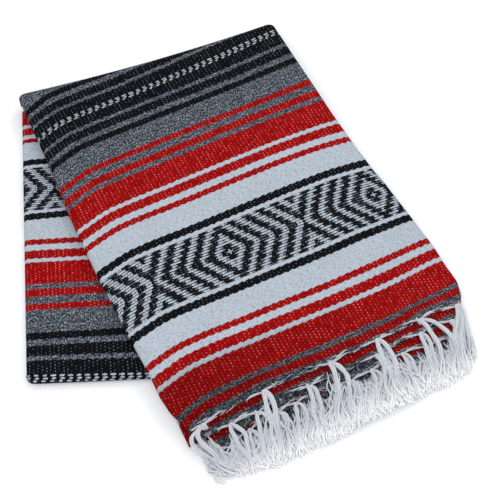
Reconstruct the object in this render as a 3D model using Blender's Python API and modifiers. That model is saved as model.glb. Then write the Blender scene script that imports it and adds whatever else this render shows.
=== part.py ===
"""A woven serape, folded and lying flat: a lower stack, one top fold, and an upper stack turned across it.

The cloth is folded in four across its width, then in half, and then once more along a slanting top fold. The
layout is worked out in millimetres on a plan: +X to the right, +Y away, +Z up from the surface it lies on. The
lower stack lies square to the plan. The upper stack has its own axes, u across the cloth and v along it towards
its hems, turned by UPPER_TURN. Every point is moved by ORIGIN and written in metres.
"""

import math

import bmesh
import bpy
from mathutils import Vector

MM = 0.001
ORIGIN = Vector((220.975, 142.524, 0.0))

# The cloth, and how it stacks up.
CLOTH = 2.1
SEAM = 0.4
PITCH = CLOTH + 0.5
CORE_GAP = 0.55
LOWER_CORE = 10.0
LOWER_TOP = LOWER_CORE + 0.3 + CLOTH
UPPER_BASE = LOWER_TOP + SEAM
UPPER_DEPTH = 14.6
HEM_DEPTH = 3 * PITCH + CLOTH

# How far the outer cloth rolls over a side edge, outwards and down, and down round the near fold.
ROLL_ACROSS = 8.0
ROLL_DOWN = 5.0
NEAR_ROLL_DOWN = 6.0

# The plan corners of the lower stack. The far pair is the axis that the top fold turns about.
NEAR_LEFT = Vector((-2.6, -5.6))
NEAR_RIGHT = Vector((318.0, -31.0))
FOLD_LEFT = Vector((-1.2, 334.6))
FOLD_RIGHT = Vector((295.8, 407.6))
LOWER_LENGTH = FOLD_LEFT.y - NEAR_LEFT.y

# The top fold: how far it reaches past its axis, and how far its middle hangs back.
FOLD_REACH = 12.0
FOLD_SAG = 5.0
FOLD_TUCK = 4.0
FOLD_SIDE_INSET = 1.8

# The upper stack: the origin of u and v, and its side edges by v.
UPPER_CENTRE = Vector((237.3, 121.0))
UPPER_TURN = math.radians(20.0)
U_AXIS = Vector((math.cos(UPPER_TURN), math.sin(UPPER_TURN)))
V_AXIS = Vector((math.sin(UPPER_TURN), -math.cos(UPPER_TURN)))
EDGE_V, EDGE_LEFT_U, EDGE_RIGHT_U = range(3)
UPPER_EDGES = (
    (-290.0, -150.8, 153.0),
    (-255.0, -152.2, 153.2),
    (-185.0, -154.8, 152.0),
    (-114.0, -160.2, 152.0),
    (-70.0, -161.6, 153.6),
    (-28.0, -162.5, 156.6),
    (-6.0, -162.3, 160.0),
    (46.0, -161.8, 163.6),
    (87.0, -160.6, 165.9),
    (112.0, -161.4, 165.9),
    (128.0, -159.4, 165.3),
    (145.0, -154.6, 161.3),
    (158.0, -149.3, 154.2),
)

# Where the upper stack thins towards its hems, where its edges stop rolling, and where its hidden hems start.
THIN_FROM_V = 70.0
THIN_OVER = 66.0
FLAT_FROM_V = 90.0
FLAT_OVER = 45.0
HIDDEN_HEMS_V = 142.3
CORE_END = 0.96

# How the upper stack comes down past the edge of the lower one, and the unevenness of its top.
RAMP_START = 10.0
RAMP = 90.0
SWELL = 0.8
SWELL_ACROSS = 47.0
SWELL_ALONG = 58.0

# The hems from the top layer down. The waves of each start at its phase, and its knots stand at their u.
HEM_V, HEM_LEFT_U, HEM_RIGHT_U, TIP_V, WAVE_PHASE, KNOTS_U = range(6)
HEMS = (
    (158.0, -149.3, 154.2, 226.0, 0.4, (-131.0, -70.0, -1.0, 53.0, 105.0, 143.0)),
    (172.0, -156.3, 151.0, 228.0, 1.7, (-112.0, -72.0, -31.5, 15.0, 62.0, 108.0)),
    (183.0, -147.0, 153.0, 230.0, 3.1, (-136.0, -96.0, -48.0, 8.0, 50.0, 118.0)),
    (195.0, -141.0, 148.0, 232.0, 4.6, (-110.0, -74.0, -22.0, 26.0, 78.0, 128.0)),
)
FIRST_HEM_V = HEMS[0][HEM_V]
HEM_WAVE = 1.2
HEM_WAVELENGTH = 33.0

# The fringe: a strip along each hem, and the knots on it that the strands come from.
STRIP = 2.0
STRIP_LIFT = 0.3
KNOTS = len(HEMS[0][KNOTS_U])
KNOT_SIZE = (3.2, 1.1, 1.02)
STRANDS_PER_KNOT = 7
STRAND_GAP = 2.6
STRAND_RADIUS = 0.95
STRAND_END = 0.62
STRAND_POINTS = 4
STRAND_SPREAD = 0.9
STRAND_DROP = 0.14
SPREAD_UP_TO = 130.0
TIP_STEP = 3.5
TIP_ROUNDING = 30.0

# How finely the cloth is divided: columns across, rows along as a share of the length, and angles round a fold.
COLUMNS = 17
UPPER_ROWS = (*(row / 16 for row in range(1, 16)), CORE_END, 0.98, 1.0)
LOWER_ROWS = 8
HEM_COLUMN_STEP = 12.5
HEM_ROW_STEP = 8.0
ROLL_ANGLES = (110.0, 80.0, 52.0, 25.0)
TUCK_ANGLES = (0.0, 24.0)
FOLD_ANGLES = (42.0, 62.0, 82.0, 102.0, 122.0, 142.0, 161.0, 180.0)
NEAR_ANGLES = (150.0, 120.0, 90.0, 60.0, 30.0, 0.0)
NEAR_CORE_ANGLES = (84.0, 60.0, 32.0)
NEAR_ROLL_ALONG = ROLL_ACROSS / LOWER_LENGTH

# The sides of the hidden layers, from the inner to the outer face of the folded stack: a share of its thickness
# and an inset from its edge. A ridge is the rounded edge of some layers. Both are rounded under the outer cloth.
LOWER_SIDE = (
    (0.00, 9.2), (0.08, 5.4), (0.28, 3.3), (0.50, 3.9), (0.61, 1.0), (0.74, 3.7), (0.86, 1.0), (1.00, 4.2),
)
UPPER_SIDE = (
    (0.00, 4.2), (0.17, 1.0), (0.32, 3.7), (0.45, 1.0), (0.57, 4.1), (0.78, 3.4), (0.94, 5.5), (1.00, 9.2),
)


class Frame:
    """A point on a stack's outer face, its directions inward and across to the right, and how its edge rolls."""

    def __init__(self, point, inward, across, roll=ROLL_DOWN):
        self.point = point
        self.inward = inward
        self.across = across
        self.roll = roll

    def at(self, depth, across=0.0):
        return self.point + self.inward * depth + self.across * across


def mix(a, b, share):
    return a + (b - a) * share


def smooth(x):
    """A step from 0 to 1 with level ends."""
    x = min(max(x, 0.0), 1.0)
    return x * x * (3.0 - 2.0 * x)


def lifted(plan, height):
    return Vector((plan.x, plan.y, height))


def edge_u(column, v):
    """u of the upper stack's left or right edge at v, from its table."""
    for low, high in zip(UPPER_EDGES, UPPER_EDGES[1:]):
        if v <= high[EDGE_V]:
            share = min(max((v - low[EDGE_V]) / (high[EDGE_V] - low[EDGE_V]), 0.0), 1.0)
            return mix(low[column], high[column], mix(share, smooth(share), 0.4))
    return UPPER_EDGES[-1][column]


def plan_from_uv(u, v):
    return UPPER_CENTRE + U_AXIS * u + V_AXIS * v


def rest_height(plan):
    """The height that the upper stack lies on: the lower stack, and a slope down to the surface beyond it."""
    near = mix(NEAR_LEFT.y, NEAR_RIGHT.y, plan.x / NEAR_RIGHT.x)
    side = mix(NEAR_RIGHT.x, FOLD_RIGHT.x, (plan.y - NEAR_RIGHT.y) / (FOLD_RIGHT.y - NEAR_RIGHT.y))
    outside = math.hypot(max(0.0, plan.x - side), max(0.0, near - plan.y))
    return UPPER_BASE * (1.0 - smooth((outside - RAMP_START) / RAMP))


def upper_depth(v):
    """The thickness of the upper stack, which thins where its layers end one after another."""
    return mix(UPPER_DEPTH, HEM_DEPTH, smooth((v - THIN_FROM_V) / THIN_OVER))


def upper_frame(along, share):
    """The top of the upper stack. along is 0 at the fold's axis and 1 at the hem, share is 0 to 1 across."""
    left_v = mix((FOLD_LEFT - UPPER_CENTRE).dot(V_AXIS), FIRST_HEM_V, along)
    right_v = mix((FOLD_RIGHT - UPPER_CENTRE).dot(V_AXIS), FIRST_HEM_V, along)
    left = plan_from_uv(edge_u(EDGE_LEFT_U, left_v), left_v)
    right = plan_from_uv(edge_u(EDGE_RIGHT_U, right_v), right_v)
    width = (right - left).length
    plan = mix(left, right, mix(ROLL_ACROSS, width - ROLL_ACROSS, share) / width)
    plan -= fold_normal() * (sag(share) * (1.0 - along) ** 4)
    v = (plan - UPPER_CENTRE).dot(V_AXIS)
    swell = SWELL * math.sin(plan.x / SWELL_ACROSS + 0.6) * math.sin(plan.y / SWELL_ALONG + 1.1)
    swell *= smooth(along * 6.0) * smooth((FIRST_HEM_V - v) / 40.0)
    top = rest_height(plan) + upper_depth(v) + swell
    roll = ROLL_DOWN * (1.0 - smooth((v - FLAT_FROM_V) / FLAT_OVER))
    return Frame(lifted(plan, top), Vector((0, 0, -1)), lifted((right - left) / width, 0.0), roll)


def fold_normal():
    """The plan direction out of the top fold."""
    along = (FOLD_RIGHT - FOLD_LEFT).normalized()
    return Vector((-along.y, along.x))


def sag(share):
    return 4.0 * FOLD_SAG * share * (1.0 - share)


def fold_frame(angle, share):
    """The outside of the top fold, from underneath (0 degrees) over its crest (90) to the top (180)."""
    turn = math.radians(angle)
    width = (FOLD_RIGHT - FOLD_LEFT).length
    middle = (UPPER_BASE + UPPER_DEPTH) / 2.0
    plan = mix(FOLD_LEFT, FOLD_RIGHT, mix(ROLL_ACROSS, width - ROLL_ACROSS, share) / width)
    plan += fold_normal() * (FOLD_REACH * math.sin(turn) - sag(share))
    inward = lifted(fold_normal() * -math.sin(turn), math.cos(turn))
    across = lifted((FOLD_RIGHT - FOLD_LEFT) / width, 0.0)
    return Frame(lifted(plan, middle - middle * math.cos(turn)), inward, across)


def lower_frame(along, share):
    """The top of the lower stack. along is 0 at its near end and 1 at the fold's axis."""
    left = mix(NEAR_LEFT, FOLD_LEFT, along)
    right = mix(NEAR_RIGHT, FOLD_RIGHT, along)
    width = (right - left).length
    plan = mix(left, right, mix(ROLL_ACROSS, width - ROLL_ACROSS, share) / width)
    return Frame(lifted(plan, LOWER_TOP), Vector((0, 0, -1)), lifted((right - left) / width, 0.0))


def near_frame(angle, share):
    """The outside of the fold at the near end, from the top (0 degrees) round and under (180)."""
    turn = math.radians(angle)
    start = lower_frame(NEAR_ROLL_ALONG, share)
    point = start.point + Vector((0, -ROLL_ACROSS * math.sin(turn), -NEAR_ROLL_DOWN * (1.0 - math.cos(turn))))
    return Frame(point, Vector((0, math.sin(turn), -math.cos(turn))), start.across)


def material(name, colour, roughness=0.95):
    made = bpy.data.materials.new(name)
    made.use_nodes = True
    shader = made.node_tree.nodes["Principled BSDF"]
    shader.inputs["Base Color"].default_value = (*colour, 1.0)
    shader.inputs["Roughness"].default_value = roughness
    shader.inputs["Metallic"].default_value = 0.0
    return made


def add_object(name, mesh, collection, finish=None):
    """Links a bmesh as an object, smooth shaded."""
    data = bpy.data.meshes.new(name)
    mesh.to_mesh(data)
    mesh.free()
    data.shade_smooth()
    if finish:
        data.materials.append(finish)
    made = bpy.data.objects.new(name, data)
    collection.objects.link(made)
    return made


def add_helper(name, data, collection):
    """Links a guide or a shape for joining, which isn't a piece of its own."""
    made = bpy.data.objects.new(name, data)
    made.hide_render = True
    made.display_type = "WIRE"
    collection.objects.link(made)
    return made


def add_cloth(name, rows, collection, finish):
    """A cloth wall from rows of points on its outer face, with its thickness inside them."""
    mesh = bmesh.new()
    grid = [[mesh.verts.new((point - ORIGIN) * MM) for point in row] for row in rows]
    for first, second in zip(grid, grid[1:]):
        for corners in zip(first, first[1:], second[1:], second):
            mesh.faces.new(corners)
    bmesh.ops.recalc_face_normals(mesh, faces=mesh.faces)
    mesh.faces.ensure_lookup_table()
    if mesh.faces[len(mesh.faces) // 2].normal.z < 0:
        bmesh.ops.reverse_faces(mesh, faces=mesh.faces)
    made = add_object(name, mesh, collection, finish)
    wall = made.modifiers.new("wall", "SOLIDIFY")
    wall.thickness = CLOTH * MM
    wall.offset = -1.0
    wall.use_even_offset = True
    return made


def cloth_row(frame_at):
    """One row of the outer face of a cloth: up round its left edge, across, and down round its right edge."""
    left, right = frame_at(0.0), frame_at(1.0)
    rolled = []
    for angle in ROLL_ANGLES:
        turn = math.radians(angle)
        across = mix(angle / ROLL_ANGLES[0], math.sin(turn), left.roll / ROLL_DOWN)
        rolled.append((ROLL_ACROSS * across, left.roll * (1.0 - math.cos(turn))))
    row = [left.at(down, -across) for across, down in rolled]
    row += [frame_at(column / (COLUMNS - 1)).at(0.0) for column in range(COLUMNS)]
    row += [right.at(down, across) for across, down in reversed(rolled)]
    return row


def wave(u, hem):
    return HEM_WAVE * math.sin(u / HEM_WAVELENGTH + hem[WAVE_PHASE])


def waved(point):
    """A point of the upper cloth, moved with the slight waves of its hem."""
    offset = point.xy - UPPER_CENTRE
    fade = smooth((offset.dot(V_AXIS) - FIRST_HEM_V + 32.0) / 28.0)
    return point + lifted(V_AXIS * (wave(offset.dot(U_AXIS), HEMS[0]) * fade), 0.0)


def add_upper_cloth(collection, finish):
    """The outer cloth of the upper stack, from under the top fold, over it, and down to the first hem."""
    rows = [cloth_row(lambda share, a=angle: fold_frame(a, share)) for angle in FOLD_ANGLES]
    for along in UPPER_ROWS:
        rows.append([waved(point) for point in cloth_row(lambda share, a=along: upper_frame(a, share))])
    return add_cloth("upper_cloth", rows, collection, finish)


def add_lower_cloth(collection, finish):
    """The top cloth of the lower stack, from under its near fold to the crease of the top fold."""
    rows = [cloth_row(lambda share, a=angle: near_frame(a, share)) for angle in NEAR_ANGLES]
    last = 1.0 - 5.0 / LOWER_LENGTH
    for step in range(1, LOWER_ROWS + 1):
        along = mix(NEAR_ROLL_ALONG, last, step / LOWER_ROWS)
        rows.append(cloth_row(lambda share, a=along: lower_frame(a, share)))
    return add_cloth("lower_cloth", rows, collection, finish)


def core_ring(inner, outer, sides, corner=0.0):
    """A ring round the hidden layers. inner and outer give a point at a share, and the direction across."""
    shares = [column / (COLUMNS - 1) for column in range(COLUMNS)]

    def side(share, sign, rows):
        low, across = inner(share)
        high = outer(share)[0]
        reach = sign * (ROLL_ACROSS - corner)
        return [mix(low, high, depth) + across * (reach - sign * inset) for depth, inset in rows]

    ring = [outer(share)[0] for share in shares]
    ring += side(1.0, 1.0, reversed(sides))
    ring += [inner(share)[0] for share in reversed(shares)]
    ring += side(0.0, -1.0, sides)
    return ring


def near_rings():
    """Rings of the hidden layers round their near end: how far forward, low, high and how much narrower."""
    reach = ROLL_ACROSS - CLOTH - CORE_GAP
    tall = NEAR_ROLL_DOWN - CLOTH - 0.5
    middle = LOWER_TOP - NEAR_ROLL_DOWN
    stations = []
    for angle in NEAR_CORE_ANGLES:
        forward = reach * math.sin(math.radians(angle))
        half = tall * math.cos(math.radians(angle))
        stations.append((forward, middle - half, middle + half, 3.9 + 0.25 * forward))
    stations.append((-0.4, 0.0, LOWER_CORE - 0.1, 3.8))
    stations.append((-6.5, 0.0, LOWER_CORE, 0.0))
    rings = []
    for forward, low, high, corner in stations:

        def face(share, height, forward=forward):
            start = lower_frame(NEAR_ROLL_ALONG, share)
            return lifted(start.point.xy - Vector((0, forward)), height), start.across

        rings.append(core_ring(lambda s: face(s, high), lambda s: face(s, low), LOWER_SIDE, corner))
    return rings


def lower_rings():
    """Rings of the hidden layers along the lower stack."""
    rings = []
    last = 1.0 - 4.0 / LOWER_LENGTH
    for step in range(1, LOWER_ROWS + 1):
        along = mix(NEAR_ROLL_ALONG, last, step / LOWER_ROWS)

        def face(share, height, along=along):
            start = lower_frame(along, share)
            return lifted(start.point.xy, height), start.across

        rings.append(core_ring(lambda s: face(s, LOWER_CORE), lambda s: face(s, 0.0), LOWER_SIDE))
    return rings


def tuck_point(turn, share):
    """The underside of the hidden layers as it lifts from the surface towards the lip of the outer cloth."""
    reach = FOLD_REACH - CLOTH - CORE_GAP
    forward = reach * math.sin(turn)
    furthest = reach * math.sin(math.radians(FOLD_ANGLES[0]))
    lip = fold_frame(FOLD_ANGLES[0], share).at(CLOTH + CORE_GAP)
    plan = fold_frame(0.0, share).point.xy + fold_normal() * forward
    return lifted(plan, lip.z * (forward + FOLD_TUCK) / (furthest + FOLD_TUCK))


def fold_rings():
    """Rings of the hidden layers round the top fold, between the outer cloth and the slot of the lower cloth."""
    rings = []
    slot_middle = (LOWER_CORE + UPPER_BASE) / 2.0
    slot = (UPPER_BASE - LOWER_CORE) / 2.0
    for angle in (*TUCK_ANGLES, *FOLD_ANGLES):
        turn = math.radians(angle)

        def outer(share, angle=angle, turn=turn):
            frame = fold_frame(angle, share)
            point = tuck_point(turn, share) if angle < FOLD_ANGLES[0] else frame.at(CLOTH + CORE_GAP)
            return point, frame.across

        def inner(share, turn=turn):
            start = fold_frame(0.0, share)
            plan = start.point.xy + fold_normal() * (slot * math.sin(turn))
            return lifted(plan, slot_middle - slot * math.cos(turn)), start.across

        blend = min(1.0, 0.5 + angle / 48.0)
        sides = [(mix(a[0], b[0], blend), mix(a[1], b[1], blend)) for a, b in zip(LOWER_SIDE, UPPER_SIDE)]
        rings.append(core_ring(inner, outer, sides, FOLD_SIDE_INSET * math.sin(turn)))
    return rings


def upper_rings():
    """Rings of the hidden layers along the upper stack, to where the hems start to show one by one."""
    rings = []
    for along in [row for row in UPPER_ROWS if row <= CORE_END]:

        def outer(share, along=along):
            frame = upper_frame(along, share)
            return frame.at(CLOTH + CORE_GAP), frame.across

        def inner(share, along=along):
            frame = upper_frame(along, share)
            return lifted(frame.point.xy, rest_height(frame.point.xy)), frame.across

        rings.append(core_ring(inner, outer, UPPER_SIDE))
    return rings


def close_ring(mesh, loop):
    """Faces across one end of the hidden layers."""
    side = len(UPPER_SIDE)
    top = loop[:COLUMNS]
    right = loop[COLUMNS:COLUMNS + side]
    bottom = loop[COLUMNS + side:2 * COLUMNS + side]
    left = loop[2 * COLUMNS + side:]
    for index in range(COLUMNS - 1):
        mesh.faces.new((top[index], top[index + 1], bottom[COLUMNS - 2 - index], bottom[COLUMNS - 1 - index]))
    mesh.faces.new([top[-1], *right, bottom[0]])
    mesh.faces.new([bottom[-1], *left, top[0]])


def add_hidden_layers(collection, finish):
    """The layers inside the folded stack as one rounded solid that follows the fold, with layered sides."""
    mesh = bmesh.new()
    rings = near_rings() + lower_rings() + fold_rings() + upper_rings()
    loops = [[mesh.verts.new((point - ORIGIN) * MM) for point in ring] for ring in rings]
    for first, second in zip(loops, loops[1:]):
        for corners in zip(first, first[1:] + first[:1], second[1:] + second[:1], second):
            mesh.faces.new(corners)
    close_ring(mesh, loops[0])
    close_ring(mesh, loops[-1])
    bmesh.ops.recalc_face_normals(mesh, faces=mesh.faces)
    return add_object("hidden_layers", mesh, collection, finish)


def hem_line(hem, u):
    """v of a hem's edge at u, with its slight waves."""
    return hem[HEM_V] + wave(u, hem)


def hem_height(number):
    """How high the top of a layer is over what the stack lies on, counted from the top layer."""
    return HEM_DEPTH - (number - 1) * PITCH


def hem_row(hem, v_at, height):
    """A row of points along a hem. v_at gives v at u, and height is over what the stack lies on."""
    first = math.ceil(hem[HEM_LEFT_U] / HEM_COLUMN_STEP + 0.3)
    last = math.floor(hem[HEM_RIGHT_U] / HEM_COLUMN_STEP - 0.3)
    inside = [column * HEM_COLUMN_STEP for column in range(first, last + 1)]
    row = []
    for u in (hem[HEM_LEFT_U], *inside, hem[HEM_RIGHT_U]):
        plan = plan_from_uv(u, v_at(u))
        row.append(lifted(plan, rest_height(plan) + height))
    return row


def add_hem_layer(number, hem, collection, finish):
    """One hidden layer's cloth where it shows past the layer above it."""
    rows = []
    v = HIDDEN_HEMS_V
    while v < hem[HEM_V] - HEM_ROW_STEP / 2.0:
        rows.append(hem_row(hem, lambda u, v=v: v, hem_height(number)))
        v += HEM_ROW_STEP
    rows.append(hem_row(hem, lambda u: hem_line(hem, u), hem_height(number)))
    return add_cloth(f"hem_layer_{number}", rows, collection, finish)


def strand_path(number, hem, knot_u, strand):
    """One strand, from its root beside the others of its knot to where it ends, spread from them."""
    offset = strand - (STRANDS_PER_KNOT - 1) / 2.0
    spread = STRAND_SPREAD * (hem[HEM_RIGHT_U] - hem[HEM_LEFT_U]) / (KNOTS * STRANDS_PER_KNOT)
    root_u = knot_u + offset * STRAND_GAP
    tip_u = knot_u * 0.96 + offset * spread
    tip_u -= math.copysign(max(0.0, abs(tip_u) - SPREAD_UP_TO) * 0.45, tip_u)
    root_v = hem_line(hem, root_u) + SEAM + STRIP * 0.45
    edge = min(1.0, abs(tip_u) / hem[HEM_RIGHT_U])
    tip_v = hem[TIP_V] - TIP_ROUNDING * edge**6 + TIP_STEP * math.sin(strand * 2.3 + knot_u / 26.0)
    base = hem_height(number) + STRIP_LIFT - CLOTH / 2.0
    path = []
    for point in range(STRAND_POINTS):
        share = point / (STRAND_POINTS - 1)
        plan = plan_from_uv(mix(root_u, tip_u, smooth(share * 0.87)), mix(root_v, tip_v, share))
        path.append(lifted(plan, rest_height(plan) + base * (1.0 - STRAND_DROP * share)))
    return path


def mesh_from_curve(curve):
    """The mesh of a curve object, with its caps welded. The curve is removed."""
    graph = bpy.context.evaluated_depsgraph_get()
    data = bpy.data.meshes.new_from_object(curve.evaluated_get(graph))
    welded = bmesh.new()
    welded.from_mesh(data)
    bmesh.ops.remove_doubles(welded, verts=welded.verts, dist=0.00001)
    bmesh.ops.recalc_face_normals(welded, faces=welded.faces)
    welded.to_mesh(data)
    welded.free()
    bpy.data.objects.remove(curve)
    return data


def add_strand_section(helpers):
    """The three-sided section of a strand."""
    data = bpy.data.curves.new("strand_section", "CURVE")
    data.dimensions = "2D"
    spline = data.splines.new("POLY")
    spline.points.add(2)
    spline.use_cyclic_u = True
    for index, point in enumerate(spline.points):
        turn = math.radians(90.0 + 120.0 * index)
        point.co = (STRAND_RADIUS * MM * math.cos(turn), STRAND_RADIUS * MM * math.sin(turn), 0.0, 1.0)
    return add_helper("strand_section", data, helpers)


def add_strands(number, hem, section, helpers):
    """All the strands of a fringe as one curve of open splines, made a mesh for joining."""
    data = bpy.data.curves.new(f"strands_{number}", "CURVE")
    data.dimensions = "3D"
    data.bevel_mode = "OBJECT"
    data.bevel_object = section
    data.use_fill_caps = True
    for knot_u in hem[KNOTS_U]:
        for strand in range(STRANDS_PER_KNOT):
            spline = data.splines.new("POLY")
            spline.points.add(STRAND_POINTS - 1)
            path = strand_path(number, hem, knot_u, strand)
            for index, (point, place) in enumerate(zip(spline.points, path)):
                point.co = (*((place - ORIGIN) * MM), 1.0)
                point.radius = mix(1.0, STRAND_END, index / (STRAND_POINTS - 1))
    curve = add_helper(f"strands_curve_{number}", data, helpers)
    bpy.context.view_layer.update()
    return add_helper(f"strands_{number}", mesh_from_curve(curve), helpers)


def add_knots(number, hem, helpers):
    """The knots of a fringe, low rounded lumps along its strip, as one mesh for joining."""
    mesh = bmesh.new()
    for knot_u in hem[KNOTS_U]:
        plan = plan_from_uv(knot_u, hem_line(hem, knot_u) + SEAM + STRIP * 0.75)
        height = rest_height(plan) + hem_height(number) + STRIP_LIFT - CLOTH / 2.0
        made = bmesh.ops.create_uvsphere(mesh, u_segments=6, v_segments=4, radius=1.0)
        for vertex in made["verts"]:
            across, along, up = (side * size for side, size in zip(vertex.co, KNOT_SIZE))
            local = lifted(U_AXIS * across + V_AXIS * along, up)
            vertex.co = (lifted(plan, height) + local - ORIGIN) * MM
    bmesh.ops.recalc_face_normals(mesh, faces=mesh.faces)
    data = bpy.data.meshes.new(f"knots_{number}")
    mesh.to_mesh(data)
    mesh.free()
    return add_helper(f"knots_{number}", data, helpers)


def join(target, helper):
    """Adds a Boolean union with a helper."""
    union = target.modifiers.new(helper.name, "BOOLEAN")
    union.operation = "UNION"
    union.solver = "EXACT"
    union.use_self = True
    union.object = helper


def add_fringe(number, hem, section, collection, helpers, finish):
    """One fringe: a narrow strip clear of the cloth's edge, with knots and strands fused into it."""
    height = hem_height(number) + STRIP_LIFT
    rows = [hem_row(hem, lambda u, out=out: hem_line(hem, u) + out, height) for out in (SEAM, SEAM + STRIP)]
    fringe = add_cloth(f"fringe_{number}", rows, collection, finish)
    join(fringe, add_knots(number, hem, helpers))
    join(fringe, add_strands(number, hem, section, helpers))
    return fringe


def main():
    for made in list(bpy.data.objects):
        bpy.data.objects.remove(made)
    bpy.context.scene.unit_settings.system = "METRIC"
    serape = bpy.data.collections.new("folded_serape")
    helpers = bpy.data.collections.new("helpers")
    bpy.context.scene.collection.children.link(serape)
    bpy.context.scene.collection.children.link(helpers)

    red = (0.42, 0.006, 0.01)
    grey = (0.13, 0.14, 0.16)
    white = (0.62, 0.66, 0.71)
    add_hidden_layers(serape, material("hidden_layers", grey))
    add_lower_cloth(serape, material("lower_cloth", red))
    add_upper_cloth(serape, material("upper_cloth", red))
    section = add_strand_section(helpers)
    for number, hem in enumerate(HEMS, start=1):
        if number > 1:
            add_hem_layer(number, hem, serape, material(f"hem_layer_{number}", red))
        add_fringe(number, hem, section, serape, helpers, material(f"fringe_{number}", white))


main()
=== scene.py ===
"""Looks of a woven serape, folded and lying flat: striped cloth panels, layered side edges, hems and fringes.

The cloth is laid out in millimetres on a plan: +X to the right, +Y away and +Z up from where it lies. The
upper stack has axes of its own, u across the cloth and v along it towards its hems. Every finished piece is
centred and written in metres. It keeps its place in the cloth's pattern in a UV map, so the stripes, the
diamonds and the weave follow the cloth round its folds.
"""

from __future__ import annotations

import logging
import math
from dataclasses import dataclass, field
from enum import Enum
from typing import Callable, Sequence, Union

import bpy
import numpy as np
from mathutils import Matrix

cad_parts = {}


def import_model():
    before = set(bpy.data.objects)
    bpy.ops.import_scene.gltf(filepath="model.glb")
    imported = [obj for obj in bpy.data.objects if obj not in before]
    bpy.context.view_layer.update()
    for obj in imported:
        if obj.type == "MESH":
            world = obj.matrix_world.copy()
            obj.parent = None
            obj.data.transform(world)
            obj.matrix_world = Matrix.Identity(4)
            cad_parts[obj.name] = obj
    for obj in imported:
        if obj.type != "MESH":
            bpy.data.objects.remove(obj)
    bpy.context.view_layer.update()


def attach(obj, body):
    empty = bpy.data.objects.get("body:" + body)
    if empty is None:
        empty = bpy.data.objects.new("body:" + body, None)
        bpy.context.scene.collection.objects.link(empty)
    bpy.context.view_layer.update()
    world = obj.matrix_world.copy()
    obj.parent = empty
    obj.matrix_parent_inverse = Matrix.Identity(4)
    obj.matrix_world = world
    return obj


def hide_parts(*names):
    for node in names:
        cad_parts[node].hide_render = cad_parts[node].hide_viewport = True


LOG = logging.getLogger("serape")
MM = 0.001
SMOOTH_ANGLE = math.radians(50.0)
PATTERN_MAP = "pattern"

Array = np.ndarray
Pair = tuple[float, float]
Numbers = tuple[float, ...]
Colour = tuple[float, float, float]
Arrays = tuple[Array, Array]
Face = Callable[[Array], tuple[Array, Array, Array]]
Piece = bpy.types.Object
Material = bpy.types.Material
Tree = bpy.types.NodeTree


class Line(Enum):
    """The yarn of one stripe."""

    RED = "red"
    BLACK = "black"


def mix(a: Array | float, b: Array | float, share: Array | float) -> Array | float:
    """Blends from a to b by share."""
    return a + (b - a) * share


def ease(x: Array | float) -> Array:
    """A step from 0 to 1 with level ends."""
    x = np.clip(x, 0.0, 1.0)
    return x * x * (3.0 - 2.0 * x)


def arc_lengths(across: float, up: float, turns: Array) -> Array:
    """Measures along a quarter or half of an ellipse.

    Args:
        across: Half width of the ellipse in mm.
        up: Half height of the ellipse in mm.
        turns: Angles in radians from the top of the ellipse.

    Returns:
        The length of the arc from angle zero to each angle, in mm.
    """
    fine = np.linspace(0.0, math.pi, 721)
    speed = np.hypot(across * np.cos(fine), up * np.sin(fine))
    length = np.concatenate([[0.0], np.cumsum((speed[1:] + speed[:-1]) / 2.0 * np.diff(fine))])
    return np.interp(turns, fine, length)


def cubic_weights(stations: Sequence[float], places: Array) -> Array:
    """Smooth weights of each station at each place, from a cubic through them."""
    knots = np.array(stations)
    low = np.clip(np.searchsorted(knots, places) - 1, 0, len(knots) - 2)
    share = np.clip((places - knots[low]) / (knots[low + 1] - knots[low]), 0.0, 1.0)
    last = len(knots) - 1
    weights = np.zeros((*places.shape, len(knots)))
    terms = (
        (np.maximum(low - 1, 0), share * (-0.5 + share * (1.0 - 0.5 * share))),
        (low, 1.0 + share * share * (-2.5 + 1.5 * share)),
        (low + 1, share * (0.5 + share * (2.0 - 1.5 * share))),
        (np.minimum(low + 2, last), share * share * (-0.5 + 0.5 * share)),
    )
    for index, weight in terms:
        np.put_along_axis(
            weights,
            index[..., None],
            np.take_along_axis(weights, index[..., None], -1) + weight[..., None],
            -1,
        )
    return weights


@dataclass(frozen=True)
class Spread:
    """Points on a stack's outer cloth, with what is needed to roll it over its side edges."""

    point: Array
    inward: Array
    across: Array
    roll: Array
    flat: Array


@dataclass(frozen=True)
class Columns:
    """Where the points of a row stand: a share across the flat part, or an angle round one side edge."""

    share: Array
    turn: Array
    side: Array

    @staticmethod
    def evenly(flat: int, rolled: int, furthest: float) -> Columns:
        """Spaces columns over the flat part and round both side edges.

        Args:
            flat: Number of columns across the flat part.
            rolled: Number of columns round each edge.
            furthest: The last angle round an edge, in degrees.

        Returns:
            The columns from left to right.
        """
        angles = np.radians(furthest) * np.arange(rolled, 0, -1) / rolled
        share = np.concatenate([np.zeros(rolled), np.linspace(0.0, 1.0, flat), np.ones(rolled)])
        turn = np.concatenate([angles, np.zeros(flat), angles[::-1]])
        side = np.concatenate([-np.ones(rolled), np.zeros(flat), np.ones(rolled)])
        return Columns(share[None, :], turn[None, :], side[None, :])


@dataclass(frozen=True)
class Crease:
    """A soft trough or ridge pressed in the cloth.

    Height is negative for a trough. Turn is its direction in degrees from u towards v.
    """

    u: float
    v: float
    turn: float
    half_length: float
    half_width: float
    height: float

    def lift(self, u: Array, v: Array) -> Array:
        """The height that it adds at places on the cloth, in mm."""
        angle = math.radians(self.turn)
        along = (u - self.u) * math.cos(angle) + (v - self.v) * math.sin(angle)
        off = (v - self.v) * math.cos(angle) - (u - self.u) * math.sin(angle)
        fade = 1.0 - ease(np.abs(along) / self.half_length)
        return self.height * fade * np.exp(-((off / self.half_width) ** 2))


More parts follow.
